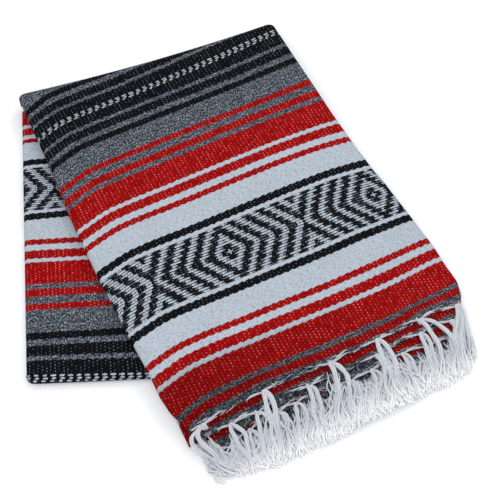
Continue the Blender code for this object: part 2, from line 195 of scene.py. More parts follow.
@dataclass(frozen=True)
class Hem:
    """One layer's hem and fringe. Places are u and v in mm, and number counts from the top layer.

    height and length are those of the hem's slight waves, and drawn has the pull of the knots at places of u.
    """

    number: int
    v: float
    left: float
    right: float
    tip_v: float
    phase: float
    knots: Numbers
    drawn: tuple[Pair, ...] = ((0.0, 0.0),)
    height: float = 0.4
    length: float = 33.0

    def wave(self, u: Array) -> Array:
        """How far its slight waves and the pull of its knots move the hem along v."""
        at_u, pull = np.array(self.drawn).T
        return self.height * np.sin(u / self.length + self.phase) + np.interp(u, at_u, pull)

    def line(self, u: Array) -> Array:
        """v of the hem's edge at u."""
        return self.v + self.wave(u)


@dataclass(frozen=True)
class FoldedPlan:
    """The plan and heights of the whole folded serape, in millimetres before it is centred.

    The upper stack swells by two long waves, each with its length and phase. Its creases fade at both ends,
    and its cloth follows its hem over hem_pull: a fade has where it starts and how far it reaches.
    """

    origin: Pair = (220.975, 142.524)
    cloth: float = 2.1
    pitch: float = 2.6
    core_gap: float = 0.55
    lower_core: float = 10.0
    lower_top: float = 12.4
    upper_base: float = 12.8
    upper_depth: float = 14.6
    hem_depth: float = 9.9
    roll_across: float = 8.0
    roll_down: float = 5.0
    near_roll_down: float = 6.0
    last_turn: float = 110.0
    near_left: Pair = (-2.6, -5.6)
    near_right: Pair = (318.0, -31.0)
    fold_left: Pair = (-1.2, 334.6)
    fold_right: Pair = (295.8, 407.6)
    fold_reach: float = 12.0
    fold_sag: float = 5.0
    centre: Pair = (237.3, 121.0)
    turn: float = 20.0
    thin_from: float = 70.0
    thin_over: float = 66.0
    flat_from: float = 90.0
    flat_over: float = 45.0
    hidden_hems_v: float = 142.3
    ramp_start: float = 10.0
    ramp: float = 90.0
    swell: float = 0.8
    swell_x: Pair = (47.0, 0.6)
    swell_y: Pair = (58.0, 1.1)
    swell_fade: float = 40.0
    crease_hem_fade: Pair = (12.0, 10.0)
    crease_fold_fade: Pair = (-262.0, 30.0)
    hem_pull: Pair = (-32.0, 28.0)
    edge_v: Numbers = (
        -290.0, -255.0, -185.0, -114.0, -70.0, -28.0, -6.0, 46.0, 87.0, 112.0, 128.0, 145.0, 158.0,
    )
    edge_left: Numbers = (
        -150.8, -152.2, -154.8, -160.2, -161.6, -162.5, -162.3, -161.8, -160.6, -161.4, -159.4,
        -154.6, -149.3,
    )
    edge_right: Numbers = (
        153.0, 153.2, 152.0, 152.0, 153.6, 156.6, 160.0, 163.6, 165.9, 165.9, 165.3, 161.3, 154.2,
    )
    creases: tuple[Crease, ...] = (
        Crease(4.0, 140.0, 80.0, 16.0, 2.6, -0.9),
        Crease(-86.0, 96.0, 62.0, 46.0, 9.0, 0.7),
        Crease(92.0, 60.0, 104.0, 60.0, 13.0, 0.6),
        Crease(-118.0, -178.0, 28.0, 52.0, 7.0, -0.8),
        Crease(34.0, -214.0, 8.0, 90.0, 9.0, -0.6),
        Crease(-30.0, -120.0, 96.0, 70.0, 16.0, 0.5),
        Crease(118.0, -96.0, 80.0, 66.0, 12.0, -0.5),
        Crease(-70.0, 8.0, 78.0, 58.0, 12.0, -0.5),
    )

    @property
    def u_axis(self) -> Array:
        """The plan direction across the upper stack."""
        return np.array([math.cos(math.radians(self.turn)), math.sin(math.radians(self.turn))])

    @property
    def v_axis(self) -> Array:
        """The plan direction along the upper stack, towards its hems."""
        return np.array([math.sin(math.radians(self.turn)), -math.cos(math.radians(self.turn))])

    @property
    def fold_normal(self) -> Array:
        """The plan direction out of the top fold."""
        along = np.subtract(self.fold_right, self.fold_left)
        along = along / np.linalg.norm(along)
        return np.array([-along[1], along[0]])

    def place(self, u: Array, v: Array) -> Array:
        """Turns u and v into plan points."""
        u, v = np.broadcast_arrays(np.asarray(u, float), np.asarray(v, float))
        return np.array(self.centre) + u[..., None] * self.u_axis + v[..., None] * self.v_axis

    def uv_of(self, plan: Array) -> Arrays:
        """Turns plan points into u and v."""
        offset = plan - np.array(self.centre)
        return offset @ self.u_axis, offset @ self.v_axis

    def rest_height(self, plan: Array) -> Array:
        """The height that the upper stack lies on: the lower stack, and beyond it a slope down."""
        near_y = mix(self.near_left[1], self.near_right[1], plan[..., 0] / self.near_right[0])
        rise = (plan[..., 1] - self.near_right[1]) / (self.fold_right[1] - self.near_right[1])
        side_x = mix(self.near_right[0], self.fold_right[0], rise)
        outside = np.hypot(np.maximum(0.0, plan[..., 0] - side_x), np.maximum(0.0, near_y - plan[..., 1]))
        return self.upper_base * (1.0 - ease((outside - self.ramp_start) / self.ramp))

    def edge_u(self, edges: Sequence[float], v: Array) -> Array:
        """u of the upper stack's left or right edge at v, from its table."""
        stations, edges = np.array(self.edge_v), np.array(edges)
        low = np.clip(np.searchsorted(stations, v, side="left") - 1, 0, len(stations) - 2)
        share = np.clip((v - stations[low]) / (stations[low + 1] - stations[low]), 0.0, 1.0)
        return mix(edges[low], edges[low + 1], mix(share, ease(share), 0.4))

    def sag(self, share: Array) -> Array:
        """How far the middle of the top fold hangs back."""
        return 4.0 * self.fold_sag * share * (1.0 - share)

    def relief(self, u: Array, v: Array) -> Array:
        """The soft creases pressed in the upper stack, fading towards the hems and the top fold."""
        lift = sum(crease.lift(u, v) for crease in self.creases)
        (hem_end, hem_over), (fold_end, fold_over) = self.crease_hem_fade, self.crease_fold_fade
        return lift * ease((self.hidden_hems_v + hem_end - v) / hem_over) * ease((v - fold_end) / fold_over)

    def upper(self, along: Array, share: Array) -> Spread:
        """The top of the upper stack.

        Args:
            along: 0 at the fold's axis and 1 at the first hem.
            share: 0 to 1 across the flat part.

        Returns:
            The surface at those places.
        """
        left_v = mix(self.uv_of(np.array(self.fold_left))[1], HEMS[0].v, along)
        right_v = mix(self.uv_of(np.array(self.fold_right))[1], HEMS[0].v, along)
        left = self.place(self.edge_u(self.edge_left, left_v), left_v)
        right = self.place(self.edge_u(self.edge_right, right_v), right_v)
        width = np.linalg.norm(right - left, axis=-1)
        reach = (mix(self.roll_across, width - self.roll_across, share) / width)[..., None]
        plan = mix(left, right, reach)
        plan = plan - self.fold_normal * (self.sag(share) * (1.0 - along) ** 4)[..., None]
        u, v = self.uv_of(plan)
        (long_x, phase_x), (long_y, phase_y) = self.swell_x, self.swell_y
        swell = self.swell * np.sin(plan[..., 0] / long_x + phase_x) * np.sin(plan[..., 1] / long_y + phase_y)
        swell = swell * ease(along * 6.0) * ease((HEMS[0].v - v) / self.swell_fade)
        depth = mix(self.upper_depth, self.hem_depth, ease((v - self.thin_from) / self.thin_over))
        top = self.rest_height(plan) + depth + swell + self.relief(u, v)
        across = np.broadcast_to((right - left) / width[..., None], plan.shape)
        return Spread(
            np.concatenate([plan, top[..., None]], -1),
            np.broadcast_to(np.array([0.0, 0.0, -1.0]), (*plan.shape[:-1], 3)),
            np.concatenate([across, np.zeros((*plan.shape[:-1], 1))], -1),
            self.roll_down * (1.0 - ease((v - self.flat_from) / self.flat_over)),
            plan,
        )

    def fold(self, angle: Array, share: Array) -> Spread:
        """The outside of the top fold, from underneath (0 degrees) over its crest (90) to the top (180)."""
        turn = np.radians(angle) + 0.0 * share
        along = np.subtract(self.fold_right, self.fold_left)
        width = float(np.linalg.norm(along))
        middle = (self.upper_base + self.upper_depth) / 2.0
        reach = mix(self.roll_across, width - self.roll_across, share) / width
        axis = np.array(self.fold_left) + along * (reach + 0.0 * turn)[..., None]
        normal = self.fold_normal
        plan = axis + normal * (self.fold_reach * np.sin(turn) - self.sag(share))[..., None]
        height = middle - middle * np.cos(turn)
        whole = arc_lengths(self.fold_reach, middle, np.array(math.pi))
        unrolled = whole - arc_lengths(self.fold_reach, middle, turn)
        flat = axis + normal * (unrolled - self.sag(share))[..., None]
        inward = np.concatenate([-normal * np.sin(turn)[..., None], np.cos(turn)[..., None]], -1)
        across = np.broadcast_to(np.append(along / width, 0.0), inward.shape)
        roll = np.full(turn.shape, self.roll_down)
        return Spread(np.concatenate([plan, height[..., None]], -1), inward, across, roll, flat)

    def lower(self, along: Array, share: Array) -> Spread:
        """The top of the lower stack. along is 0 at its near end and 1 at the fold's axis."""
        left = mix(np.array(self.near_left), np.array(self.fold_left), along[..., None])
        right = mix(np.array(self.near_right), np.array(self.fold_right), along[..., None])
        width = np.linalg.norm(right - left, axis=-1)
        plan = mix(left, right, (mix(self.roll_across, width - self.roll_across, share) / width)[..., None])
        across = np.broadcast_to((right - left) / width[..., None], plan.shape)
        zero = np.zeros((*plan.shape[:-1], 1))
        return Spread(
            np.concatenate([plan, zero + self.lower_top], -1),
            np.broadcast_to(np.array([0.0, 0.0, -1.0]), (*plan.shape[:-1], 3)),
            np.concatenate([across, zero], -1),
            np.full(plan.shape[:-1], self.roll_down),
            plan,
        )

    @property
    def near_roll_along(self) -> float:
        """Where the flat part of the lower stack starts, as a share of its length."""
        return self.roll_across / (self.fold_left[1] - self.near_left[1])

    def near(self, angle: Array, share: Array) -> Spread:
        """The outside of the fold at the near end, from the top (0 degrees) round and under (180)."""
        turn = np.radians(angle) + 0.0 * share
        start = self.lower(np.full_like(turn, self.near_roll_along), share)
        step = np.zeros((*turn.shape, 3))
        step[..., 1] = -self.roll_across * np.sin(turn)
        step[..., 2] = -self.near_roll_down * (1.0 - np.cos(turn))
        inward = np.zeros_like(step)
        inward[..., 1], inward[..., 2] = np.sin(turn), -np.cos(turn)
        flat = start.flat.copy()
        flat[..., 1] -= arc_lengths(self.roll_across, self.near_roll_down, turn)
        return Spread(start.point + step, inward, start.across, start.roll, flat)

    def roll_over(self, spread: Spread, columns: Columns) -> Arrays:
        """Rolls a surface over its side edges.

        Args:
            spread: The surface at each column's share.
            columns: The columns, some of which stand on the edges.

        Returns:
            The points in mm, and where each would lie on the unrolled plan.
        """
        flattened = columns.turn / math.radians(self.last_turn)
        out = self.roll_across * mix(flattened, np.sin(columns.turn), spread.roll / self.roll_down)
        down = spread.roll * (1.0 - np.cos(columns.turn))
        aside = spread.across * (columns.side * out)[..., None]
        points = spread.point + aside + spread.inward * down[..., None]
        arc = arc_lengths(self.roll_across, self.roll_down, columns.turn)
        flat = spread.flat + spread.across[..., :2] * (columns.side * arc)[..., None]
        return points, flat

    def follow_hem(self, points: Array) -> Array:
        """Moves the upper cloth with the slight waves of its hem."""
        u, v = self.uv_of(points[..., :2])
        start, over = self.hem_pull
        shift = HEMS[0].wave(u) * ease((v - HEMS[0].v - start) / over)
        moved = points.copy()
        moved[..., :2] += self.v_axis * shift[..., None]
        return moved

    def centred(self, points: Array) -> Array:
        """Finished points in metres in the part's own frame."""
        return (points - np.array([*self.origin, 0.0])) * MM


HEMS = (
    Hem(
        1, 157.0, -149.3, 154.2, 226.0, 0.4, (-136.0, -70.0, 1.0, 54.0, 106.0, 149.5),
        (
            (-150.0, 0.5), (-136.0, -0.5), (-110.0, 0.0), (-90.0, 0.2), (-70.0, -2.4), (-48.0, -1.2),
            (-20.0, -0.4), (1.0, 0.6), (20.0, -1.0), (40.0, 0.2), (54.0, -1.8), (75.0, -1.4),
            (92.0, -3.6), (106.0, -6.0), (122.0, -6.2), (138.0, -3.8), (152.0, -2.4),
        ),
    ),
    Hem(
        2, 168.4, -156.3, 150.2, 228.0, 1.7, (-112.0, -84.0, -29.0, 46.0, 100.0, 136.0),
        (
            (-150.0, 0.6), (-112.0, -0.6), (-84.0, 0.4), (-60.0, -0.2), (-29.0, -0.8), (0.0, 0.6),
            (24.0, 3.0), (46.0, 0.4), (66.0, -1.2), (86.0, -3.2), (125.0, -4.6), (150.0, -2.0),
        ),
    ),
    Hem(
        3, 178.8, -139.0, 148.6, 230.0, 3.1, (-120.0, -98.0, -66.0, -47.0, 10.0, 34.0, 72.0, 98.0, 126.0),
        (
            (-139.0, 6.0), (-118.0, 6.0), (-96.0, 0.0), (-60.0, -3.0), (-40.0, -3.0), (-10.0, 0.6),
            (26.0, 2.4), (50.0, 0.0), (76.0, -2.6), (98.0, -0.6), (148.0, 0.0),
        ),
    ),
    Hem(
        4, 189.0, -136.0, 144.4, 232.0, 4.6, (-130.0, -108.0, -80.0, -32.0, -8.0, 24.0, 58.0, 86.0, 114.0),
        ((-136.0, 3.0), (-100.0, 0.0), (144.0, 0.0)),
    ),
)
PLAN = FoldedPlan()


@dataclass(frozen=True)
class PatternDrift:
    """How far the beaten-in rows sag on the upper stack, in mm.

    Each row has its sag at the left edge, at the left, in the middle, at the right and at the right edge.
    """

    at_u: Numbers = (-165.0, -120.0, -40.0, 70.0, 150.0)
    at_v: Numbers = (-262.0, -200.0, -60.0, 90.0)
    at_top_fold: Numbers = (31.0, 16.0, 13.0, 5.0, -1.0)
    below_fold: Numbers = (19.0, 5.0, 3.0, 2.0, 0.0)
    in_middle: Numbers = (11.0, 2.0, 3.0, 3.0, 6.0)
    near_hem: Numbers = (7.0, -1.0, 1.0, 5.0, -2.0)

    def at(self, u: Array, v: Array) -> Array:
        """The drift at places on the upper stack."""
        across = cubic_weights(self.at_u, np.clip(u, self.at_u[0], self.at_u[-1]))
        along = cubic_weights(self.at_v, np.clip(v, self.at_v[0], self.at_v[-1]))
        rows = np.array((self.at_top_fold, self.below_fold, self.in_middle, self.near_hem))
        return np.einsum("...i,ij,...j->...", along, rows, across)


@dataclass(frozen=True)
class LowerPattern:
    """Where the lower stack lies in the cloth's pattern, from what each row shows where it crosses at_x.

    The rows slope by near_slope at the near end and by slope past near_over, until slope_fade.
    """

    at_x: float = 11.0
    at_y: Numbers = (-44.0, 26.0, 104.0, 186.0, 256.0, 286.0, 298.0, 360.0)
    at_v: Numbers = (280.0, 210.0, 131.0, 42.0, -42.0, -77.0, -94.0, -156.0)
    near_slope: float = 0.095
    near_over: float = 30.0
    slope: float = 0.055
    slope_fade: Pair = (150.0, 40.0)
    shift_u: float = 22.0

    def at(self, plan: Array) -> Array:
        """The pattern's u and v at unrolled plan points, in mm."""
        x, y = plan[..., 0], plan[..., 1]
        start, over = self.slope_fade
        slope = mix(self.near_slope, self.slope, ease(y / self.near_over)) * (1.0 - ease((y - start) / over))
        row = y + (x - self.at_x) * slope
        return np.stack([x + self.shift_u, np.interp(row, self.at_y, self.at_v)], -1)


DRIFT = PatternDrift()
LOWER_PATTERN = LowerPattern()


def upper_pattern(plan: Array) -> Array:
    """The pattern's u and v at unrolled plan points of the upper stack, in mm."""
    u, v = PLAN.uv_of(plan)
    return np.stack([u, v - DRIFT.at(u, v)], -1)


# Modelling helpers.


def select_only(piece: Piece) -> None:
    """Makes one object the only selected and the active one."""
    bpy.ops.object.select_all(action="DESELECT")
    piece.select_set(True)
    bpy.context.view_layer.objects.active = piece


def edit_all(piece: Piece, *steps: Callable[[], object]) -> None:
    """Runs each step in edit mode with all of a piece selected."""
    select_only(piece)
    bpy.ops.object.mode_set(mode="EDIT")
    for step in steps:
        bpy.ops.mesh.select_all(action="SELECT")
        step()
    bpy.ops.object.mode_set(mode="OBJECT")


def map_pattern(mesh: bpy.types.Mesh, pattern: Array) -> None:
    """Keeps the place of each point in the pattern, given in mm, in the mesh's UV map."""
    layer = mesh.uv_layers[0] if mesh.uv_layers else mesh.uv_layers.new()
    layer.name = PATTERN_MAP
    corners = np.empty(len(mesh.loops), np.int32)
    mesh.loops.foreach_get("vertex_index", corners)
    layer.data.foreach_set("uv", (pattern.reshape(-1, 2)[corners] * MM).reshape(-1).astype(np.float32))


def add_grid(name: str, points: Array, pattern: Array) -> Piece:
    """Adds a grid and lays it on a surface.

    Args:
        name: The piece's name.
        points: Rows of columns of points in the part's frame, in metres.
        pattern: The place of each point in the cloth's pattern, in mm.

    Returns:
        The new object, facing up.
    """
    rows, columns = points.shape[:2]
    bpy.ops.object.select_all(action="DESELECT")
    bpy.ops.mesh.primitive_grid_add(x_subdivisions=columns - 1, y_subdivisions=rows - 1, size=1.0)
    piece = bpy.context.active_object
    piece.name = piece.data.name = name
    piece.data.vertices.foreach_set("co", points.reshape(-1).astype(np.float32))
    map_pattern(piece.data, pattern)
    piece.data.update()
    return piece


def apply_modifiers(piece: Piece) -> None:
    """Applies every modifier of a piece in order."""
    select_only(piece)
    for modifier in list(piece.modifiers):
        bpy.ops.object.modifier_apply(modifier=modifier.name)


def face_up(piece: Piece) -> None:
    """Turns an open sheet over if the face in its middle points down."""
    middle = piece.data.polygons[len(piece.data.polygons) // 2]
    if middle.normal.z < 0.0:
        edit_all(piece, bpy.ops.mesh.flip_normals)


def give_wall(piece: Piece, thickness: float) -> None:
    """Gives a sheet its thickness on its inner side.

    Args:
        piece: A sheet that faces out.
        thickness: The cloth's thickness in mm.
    """
    face_up(piece)
    wall = piece.modifiers.new("wall", "SOLIDIFY")
    wall.thickness = thickness * MM
    wall.offset = -1.0
    apply_modifiers(piece)
    select_only(piece)
    bpy.ops.object.shade_smooth_by_angle(angle=SMOOTH_ANGLE)


@dataclass
class Tubes:
    """Round yarns swept along paths, gathered into one mesh."""

    sides: int = 5
    points: list[Array] = field(default_factory=list)
    faces: list[list[int]] = field(default_factory=list)
    maps: list[Array] = field(default_factory=list)
    count: int = 0

    def add(self, paths: Array, radii: Array) -> None:
        """Sweeps yarns that all have the same number of stations.

        Args:
            paths: Yarns, stations and coordinates, in mm on the plan.
            radii: The radius at each station of each yarn, in mm.
        """
        number, stations = paths.shape[:2]
        tangent = np.gradient(paths, axis=1)
        tangent /= np.linalg.norm(tangent, axis=-1, keepdims=True)
        side = np.cross(tangent[:, 0], np.array([0.0, 0.0, 1.0]))
        side /= np.linalg.norm(side, axis=-1, keepdims=True)
        turns = 2.0 * math.pi * np.arange(self.sides) / self.sides
        steps = np.linalg.norm(np.diff(paths, axis=1), axis=-1)
        length = np.concatenate([np.zeros((number, 1)), np.cumsum(steps, axis=1)], axis=1)
        rings = np.empty((number, stations, self.sides, 3))
        for station in range(stations):
            here = tangent[:, station]
            side = side - here * np.sum(side * here, -1, keepdims=True)
            side /= np.linalg.norm(side, axis=-1, keepdims=True)
            up = np.cross(side, here)
            circle = side[:, None] * np.cos(turns)[:, None] + up[:, None] * np.sin(turns)[:, None]
            rings[:, station] = paths[:, station, None] + circle * radii[:, station, None, None]
        around = np.broadcast_to(np.arange(self.sides) / self.sides * 10.0, (number, stations, self.sides))
        along = np.broadcast_to(length[..., None], around.shape)
        index = self.count + np.arange(number * stations * self.sides).reshape(number, stations, self.sides)
        following = np.roll(index, -1, axis=2)
        quads = np.stack([index[:, :-1], following[:, :-1], following[:, 1:], index[:, 1:]], -1)
        self.faces += quads.reshape(-1, 4).tolist()
        self.faces += index[:, 0, ::-1].tolist() + index[:, -1].tolist()
        self.points.append(rings.reshape(-1, 3))
        self.maps.append(np.stack([around, along], -1).reshape(-1, 2))
        self.count += rings.size // 3

    def make(self, name: str) -> Piece:
        """Makes the yarns one smooth object.

        Args:
            name: The piece's name.

        Returns:
            The new object.
        """
        mesh = bpy.data.meshes.new(name)
        points = PLAN.centred(np.concatenate(self.points))
        mesh.from_pydata(points.tolist(), [], self.faces)
        map_pattern(mesh, np.concatenate(self.maps))
        piece = bpy.data.objects.new(name, mesh)
        bpy.context.scene.collection.objects.link(piece)
        edit_all(piece, bpy.ops.mesh.normals_make_consistent)
        bpy.ops.object.shade_smooth()
        return piece


# Shader building.


@dataclass(frozen=True)
class Signal:
    """A value or a colour in a node tree.

    Values take part in sums as numbers do, and each step of a sum adds a Math node.
    """

    graph: Graph
    socket: bpy.types.NodeSocket

    def __add__(self, other: Value) -> Signal:
        """The sum."""
        return self.graph.math("ADD", self, other)

    def __sub__(self, other: Value) -> Signal:
        """This less the other."""
        return self.graph.math("SUBTRACT", self, other)

    def __rsub__(self, other: float) -> Signal:
        """The number less this."""
        return self.graph.math("SUBTRACT", other, self)

    def __mul__(self, other: Value) -> Signal:
        """The product."""
        return self.graph.math("MULTIPLY", self, other)

    def __pow__(self, power: float) -> Signal:
        """This to a power."""
        return self.graph.math("POWER", self, power)

    def __mod__(self, whole: float) -> Signal:
        """What is left over whole."""
        return self.graph.math("MODULO", self, whole)

    def __abs__(self) -> Signal:
        """The size without its sign."""
        return self.graph.math("ABSOLUTE", self)

    def __lt__(self, other: Value) -> Signal:
        """1 where this is less, and 0 elsewhere."""
        return self.graph.math("LESS_THAN", self, other)

    def __gt__(self, other: Value) -> Signal:
        """1 where this is more, and 0 elsewhere."""
        return self.graph.math("GREATER_THAN", self, other)

    def scaled(self, factor: float, offset: float = 0.0) -> Signal:
        """This times factor plus offset."""
        return self.graph.math("MULTIPLY_ADD", self, factor, offset)

    def most(self, other: Value) -> Signal:
        """The larger of the two."""
        return self.graph.math("MAXIMUM", self, other)

    def floor(self) -> Signal:
        """The whole number below."""
        return self.graph.math("FLOOR", self)

    def part(self) -> Signal:
        """What is left over whole numbers."""
        return self.graph.math("FRACT", self)

    def sine(self) -> Signal:
        """The sine of this times pi: one crest from 0 to 1."""
        return self.graph.math("SINE", self.scaled(math.pi))

    def mirrored(self, length: float) -> Signal:
        """Up to length and back again, over and over."""
        return self.graph.math("PINGPONG", self, length)

    def clamped(self) -> Signal:
        """This, kept between 0 and 1 by the Math node that makes it."""
        self.socket.node.use_clamp = True
        return self

    def step(self, low: float, high: float) -> Signal:
        """A soft step that is 0 at low and 1 at high."""
        made = self.graph.node("ShaderNodeMapRange", interpolation_type="SMOOTHSTEP")
        for socket, entry in zip(made.inputs, (self, low, high, 0.0, 1.0)):
            self.graph.feed(socket, entry)
        return Signal(self.graph, made.outputs[0])


Value = Union[float, Signal]
Signals = tuple[Signal, Signal]


class Graph:
    """A node tree with short ways to add and join nodes."""

    def __init__(self, tree: Tree) -> None:
        """Works on one node tree."""
        self.tree = tree

    def node(self, kind: str, **settings: object) -> bpy.types.Node:
        """Adds a node and sets its properties."""
        made = self.tree.nodes.new(kind)
        for name, value in settings.items():
            setattr(made, name, value)
        return made

    def feed(self, socket: bpy.types.NodeSocket, value: object) -> None:
        """Links a socket to a signal, or sets its own value."""
        if isinstance(value, Signal):
            self.tree.links.new(value.socket, socket)
        else:
            socket.default_value = value

    def math(self, operation: str, *values: Value) -> Signal:
        """Adds a Math node by Blender's name of the operation."""
        made = self.node("ShaderNodeMath", operation=operation)
        for socket, value in zip(made.inputs, values):
            self.feed(socket, value)
        return Signal(self, made.outputs[0])

    def vector(self, operation: str, output: str, **inputs: object) -> Signal:
        """Adds a Vector Math node.

        Args:
            operation: Blender's name of the operation.
            output: The name of the output to use, Vector or Value.
            inputs: Its inputs: _0, _1 and _2 for the vectors, and Scale.

        Returns:
            The result.
        """
        made = self.node("ShaderNodeVectorMath", operation=operation)
        for name, value in inputs.items():
            self.feed(made.inputs[int(name[1:]) if name.startswith("_") else name], value)
        return Signal(self, made.outputs[output])

    def blend(self, factor: Value, below: object, above: object, how: str = "MIX") -> Signal:
        """Mixes two colours.

        Args:
            factor: How much of the second shows.
            below: The first colour.
            above: The second colour.
            how: Blender's name of the way to mix.

        Returns:
            The mixed colour.
        """
        made = self.node("ShaderNodeMix", data_type="RGBA", blend_type=how)
        for socket, value in zip((made.inputs["Factor"], *made.inputs[6:8]), (factor, below, above)):
            self.feed(socket, value)
        return Signal(self, made.outputs[2])

    def point(self, x: Value, y: Value) -> Signal:
        """Joins two values into a flat vector."""
        made = self.node("ShaderNodeCombineXYZ")
        for socket, value in zip(made.inputs, (x, y, 0.0)):
            self.feed(socket, value)
        return Signal(self, made.outputs[0])

    def channel(self, colour: Signal, index: int) -> Signal:
        """One of a colour's three parts."""
        made = self.node("ShaderNodeSeparateColor")
        self.feed(made.inputs[0], colour)
        return Signal(self, made.outputs[index])

    def noise(
        self, vector: Signal, scale: float, detail: float = 2.0, rough: float = 0.5, output: str = "Fac"
    ) -> Signal:
        """Makes noise over a vector.

        Args:
            vector: Where the noise is read.
            scale: How fine it is.
            detail: How many times finer noise is added to it.
            rough: How strong the finer noise is.
            output: Fac for a value from 0 to 1, or Color.

        Returns:
            The noise.
        """
        made = self.node("ShaderNodeTexNoise")
        self.feed(made.inputs["Vector"], vector)
        for name, value in (("Scale", scale), ("Detail", detail), ("Roughness", rough)):
            made.inputs[name].default_value = value
        return Signal(self, made.outputs[output])

    def cloth_noise(self, place: Signals, fine: Pair, *detail: float) -> Signal:
        """Noise over a place in the cloth, as fine as each way needs, with its detail and roughness."""
        return self.noise(self.point(place[0] * fine[0], place[1] * fine[1]), 1.0, *detail)

    def cell(self, x: Value, y: Value) -> Signals:
        """A random value and a random colour for each whole x and y."""
        made = self.node("ShaderNodeTexWhiteNoise", noise_dimensions="2D")
        self.feed(made.inputs["Vector"], self.point(self.math("FLOOR", x), self.math("FLOOR", y)))
        return Signal(self, made.outputs["Value"]), Signal(self, made.outputs["Color"])

    def ramp(
        self, value: Signal, stops: Sequence[tuple[float, Sequence[float]]], how: str
    ) -> Signals:
        """Looks a value up in a row of colours.

        Args:
            value: From 0 to 1.
            stops: Each colour with its alpha, after the value that it starts or stands at.
            how: Blender's name of what lies between stops.

        Returns:
            The colour and the alpha.
        """
        made = self.node("ShaderNodeValToRGB")
        made.color_ramp.interpolation = how
        elements = made.color_ramp.elements
        elements.remove(elements[1])
        elements[0].position, elements[0].color = stops[0]
        for place, colour in stops[1:]:
            elements.new(place).color = colour
        self.feed(made.inputs["Fac"], value)
        return Signal(self, made.outputs["Color"]), Signal(self, made.outputs["Alpha"])

    def group(self, tree: Tree, **inputs: Value) -> dict[str, Signal]:
        """Places a node group, fills its named inputs and gives its outputs by name."""
        made = self.node("ShaderNodeGroup", node_tree=tree)
        for name, value in inputs.items():
            self.feed(made.inputs[name], value)
        return {output.name: Signal(self, output) for output in made.outputs}


class NodeGroup(Graph):
    """A shader node group of its own, with places in the cloth among its inputs."""

    def __init__(self, name: str, inputs: Sequence[str], **outputs: str) -> None:
        """Starts the group.

        Args:
            name: The group's name.
            inputs: Names of its inputs, all plain values, of which the first two are Across and Along in mm.
            outputs: The kind of each named output, Float or Color.
        """
        super().__init__(bpy.data.node_groups.new(name, "ShaderNodeTree"))
        for entry in inputs:
            self.tree.interface.new_socket(name=entry, in_out="INPUT", socket_type="NodeSocketFloat")
        for entry, kind in outputs.items():
            self.tree.interface.new_socket(name=entry, in_out="OUTPUT", socket_type=f"NodeSocket{kind}")
        given = self.node("NodeGroupInput")
        self.given = {entry: Signal(self, given.outputs[entry]) for entry in inputs}
        self.place = (self.given["Across"], self.given["Along"])

    def finish(self, **results: Signal) -> Tree:
        """Joins the results to the outputs and gives the tree."""
        out = self.node("NodeGroupOutput")
        for name, signal in results.items():
            self.feed(out.inputs[name], signal)
        return self.tree


class Finish(Graph):
    """The node tree of a new material, with its shader."""

    def __init__(self, name: str, **constants: object) -> None:
        """Starts the material and sets constants of its shader, in whose names _ stands for a space."""
        self.material = bpy.data.materials.new(name)
        self.material.use_nodes = True
        super().__init__(self.material.node_tree)
        self.shader = self.tree.nodes["Principled BSDF"]
        for entry, value in constants.items():
            self.shader.inputs[entry.replace("_", " ")].default_value = value

    def pattern_place(self) -> Signals:
        """The place in the piece's own UV map, in mm."""
        split = self.node("ShaderNodeSeparateXYZ")
        self.tree.links.new(self.node("ShaderNodeUVMap", uv_map=PATTERN_MAP).outputs["UV"], split.inputs[0])
        return Signal(self, split.outputs["X"]) * (1.0 / MM), Signal(self, split.outputs["Y"]) * (1.0 / MM)

    def colour(self, colour: Signal, rough: Signal) -> None:
        """Feeds the shader its colour and roughness."""
        self.feed(self.shader.inputs["Base Color"], colour)
        self.feed(self.shader.inputs["Roughness"], rough)

    def relief(self, height: Signal, strength: float, distance: float) -> None:
        """Feeds the shader a bump.

        Args:
            height: The relief.
            strength: How much of it shows.
            distance: Its depth in mm.
        """
        bump = self.node("ShaderNodeBump")
        bump.inputs["Strength"].default_value = strength
        bump.inputs["Distance"].default_value = distance * MM
        self.feed(bump.inputs["Height"], height)
        self.tree.links.new(bump.outputs["Normal"], self.shader.inputs["Normal"])


def opaque(colour: Colour) -> Numbers:
    """A colour with full alpha."""
    return (*colour, 1.0)


@dataclass(frozen=True)
class Palette:
    """The dyed yarns, as linear colours."""

    white: Colour = (0.452, 0.510, 0.572)
    black: Colour = (0.0052, 0.0060, 0.0078)
    red: Colour = (0.325, 0.0036, 0.0040)
    grey_dark: Colour = (0.008, 0.009, 0.013)
    grey: Colour = (0.058, 0.065, 0.082)
    grey_light: Colour = (0.33, 0.37, 0.42)
    dye_least: Colour = (0.59, 0.66, 0.60)
    dye_range: Colour = (0.80, 0.66, 0.80)
    rust: Colour = (0.42, 0.06, 0.02)
    ochre: Colour = (0.40, 0.33, 0.05)
    green: Colour = (0.07, 0.22, 0.06)
    blue: Colour = (0.05, 0.14, 0.24)
    warp: Colour = (0.58, 0.53, 0.57)
    warp_tan: Colour = (0.56, 0.47, 0.39)
    warp_cool: Colour = (0.44, 0.49, 0.55)
    gap: Colour = (0.0065, 0.0075, 0.010)


PALETTE = Palette()


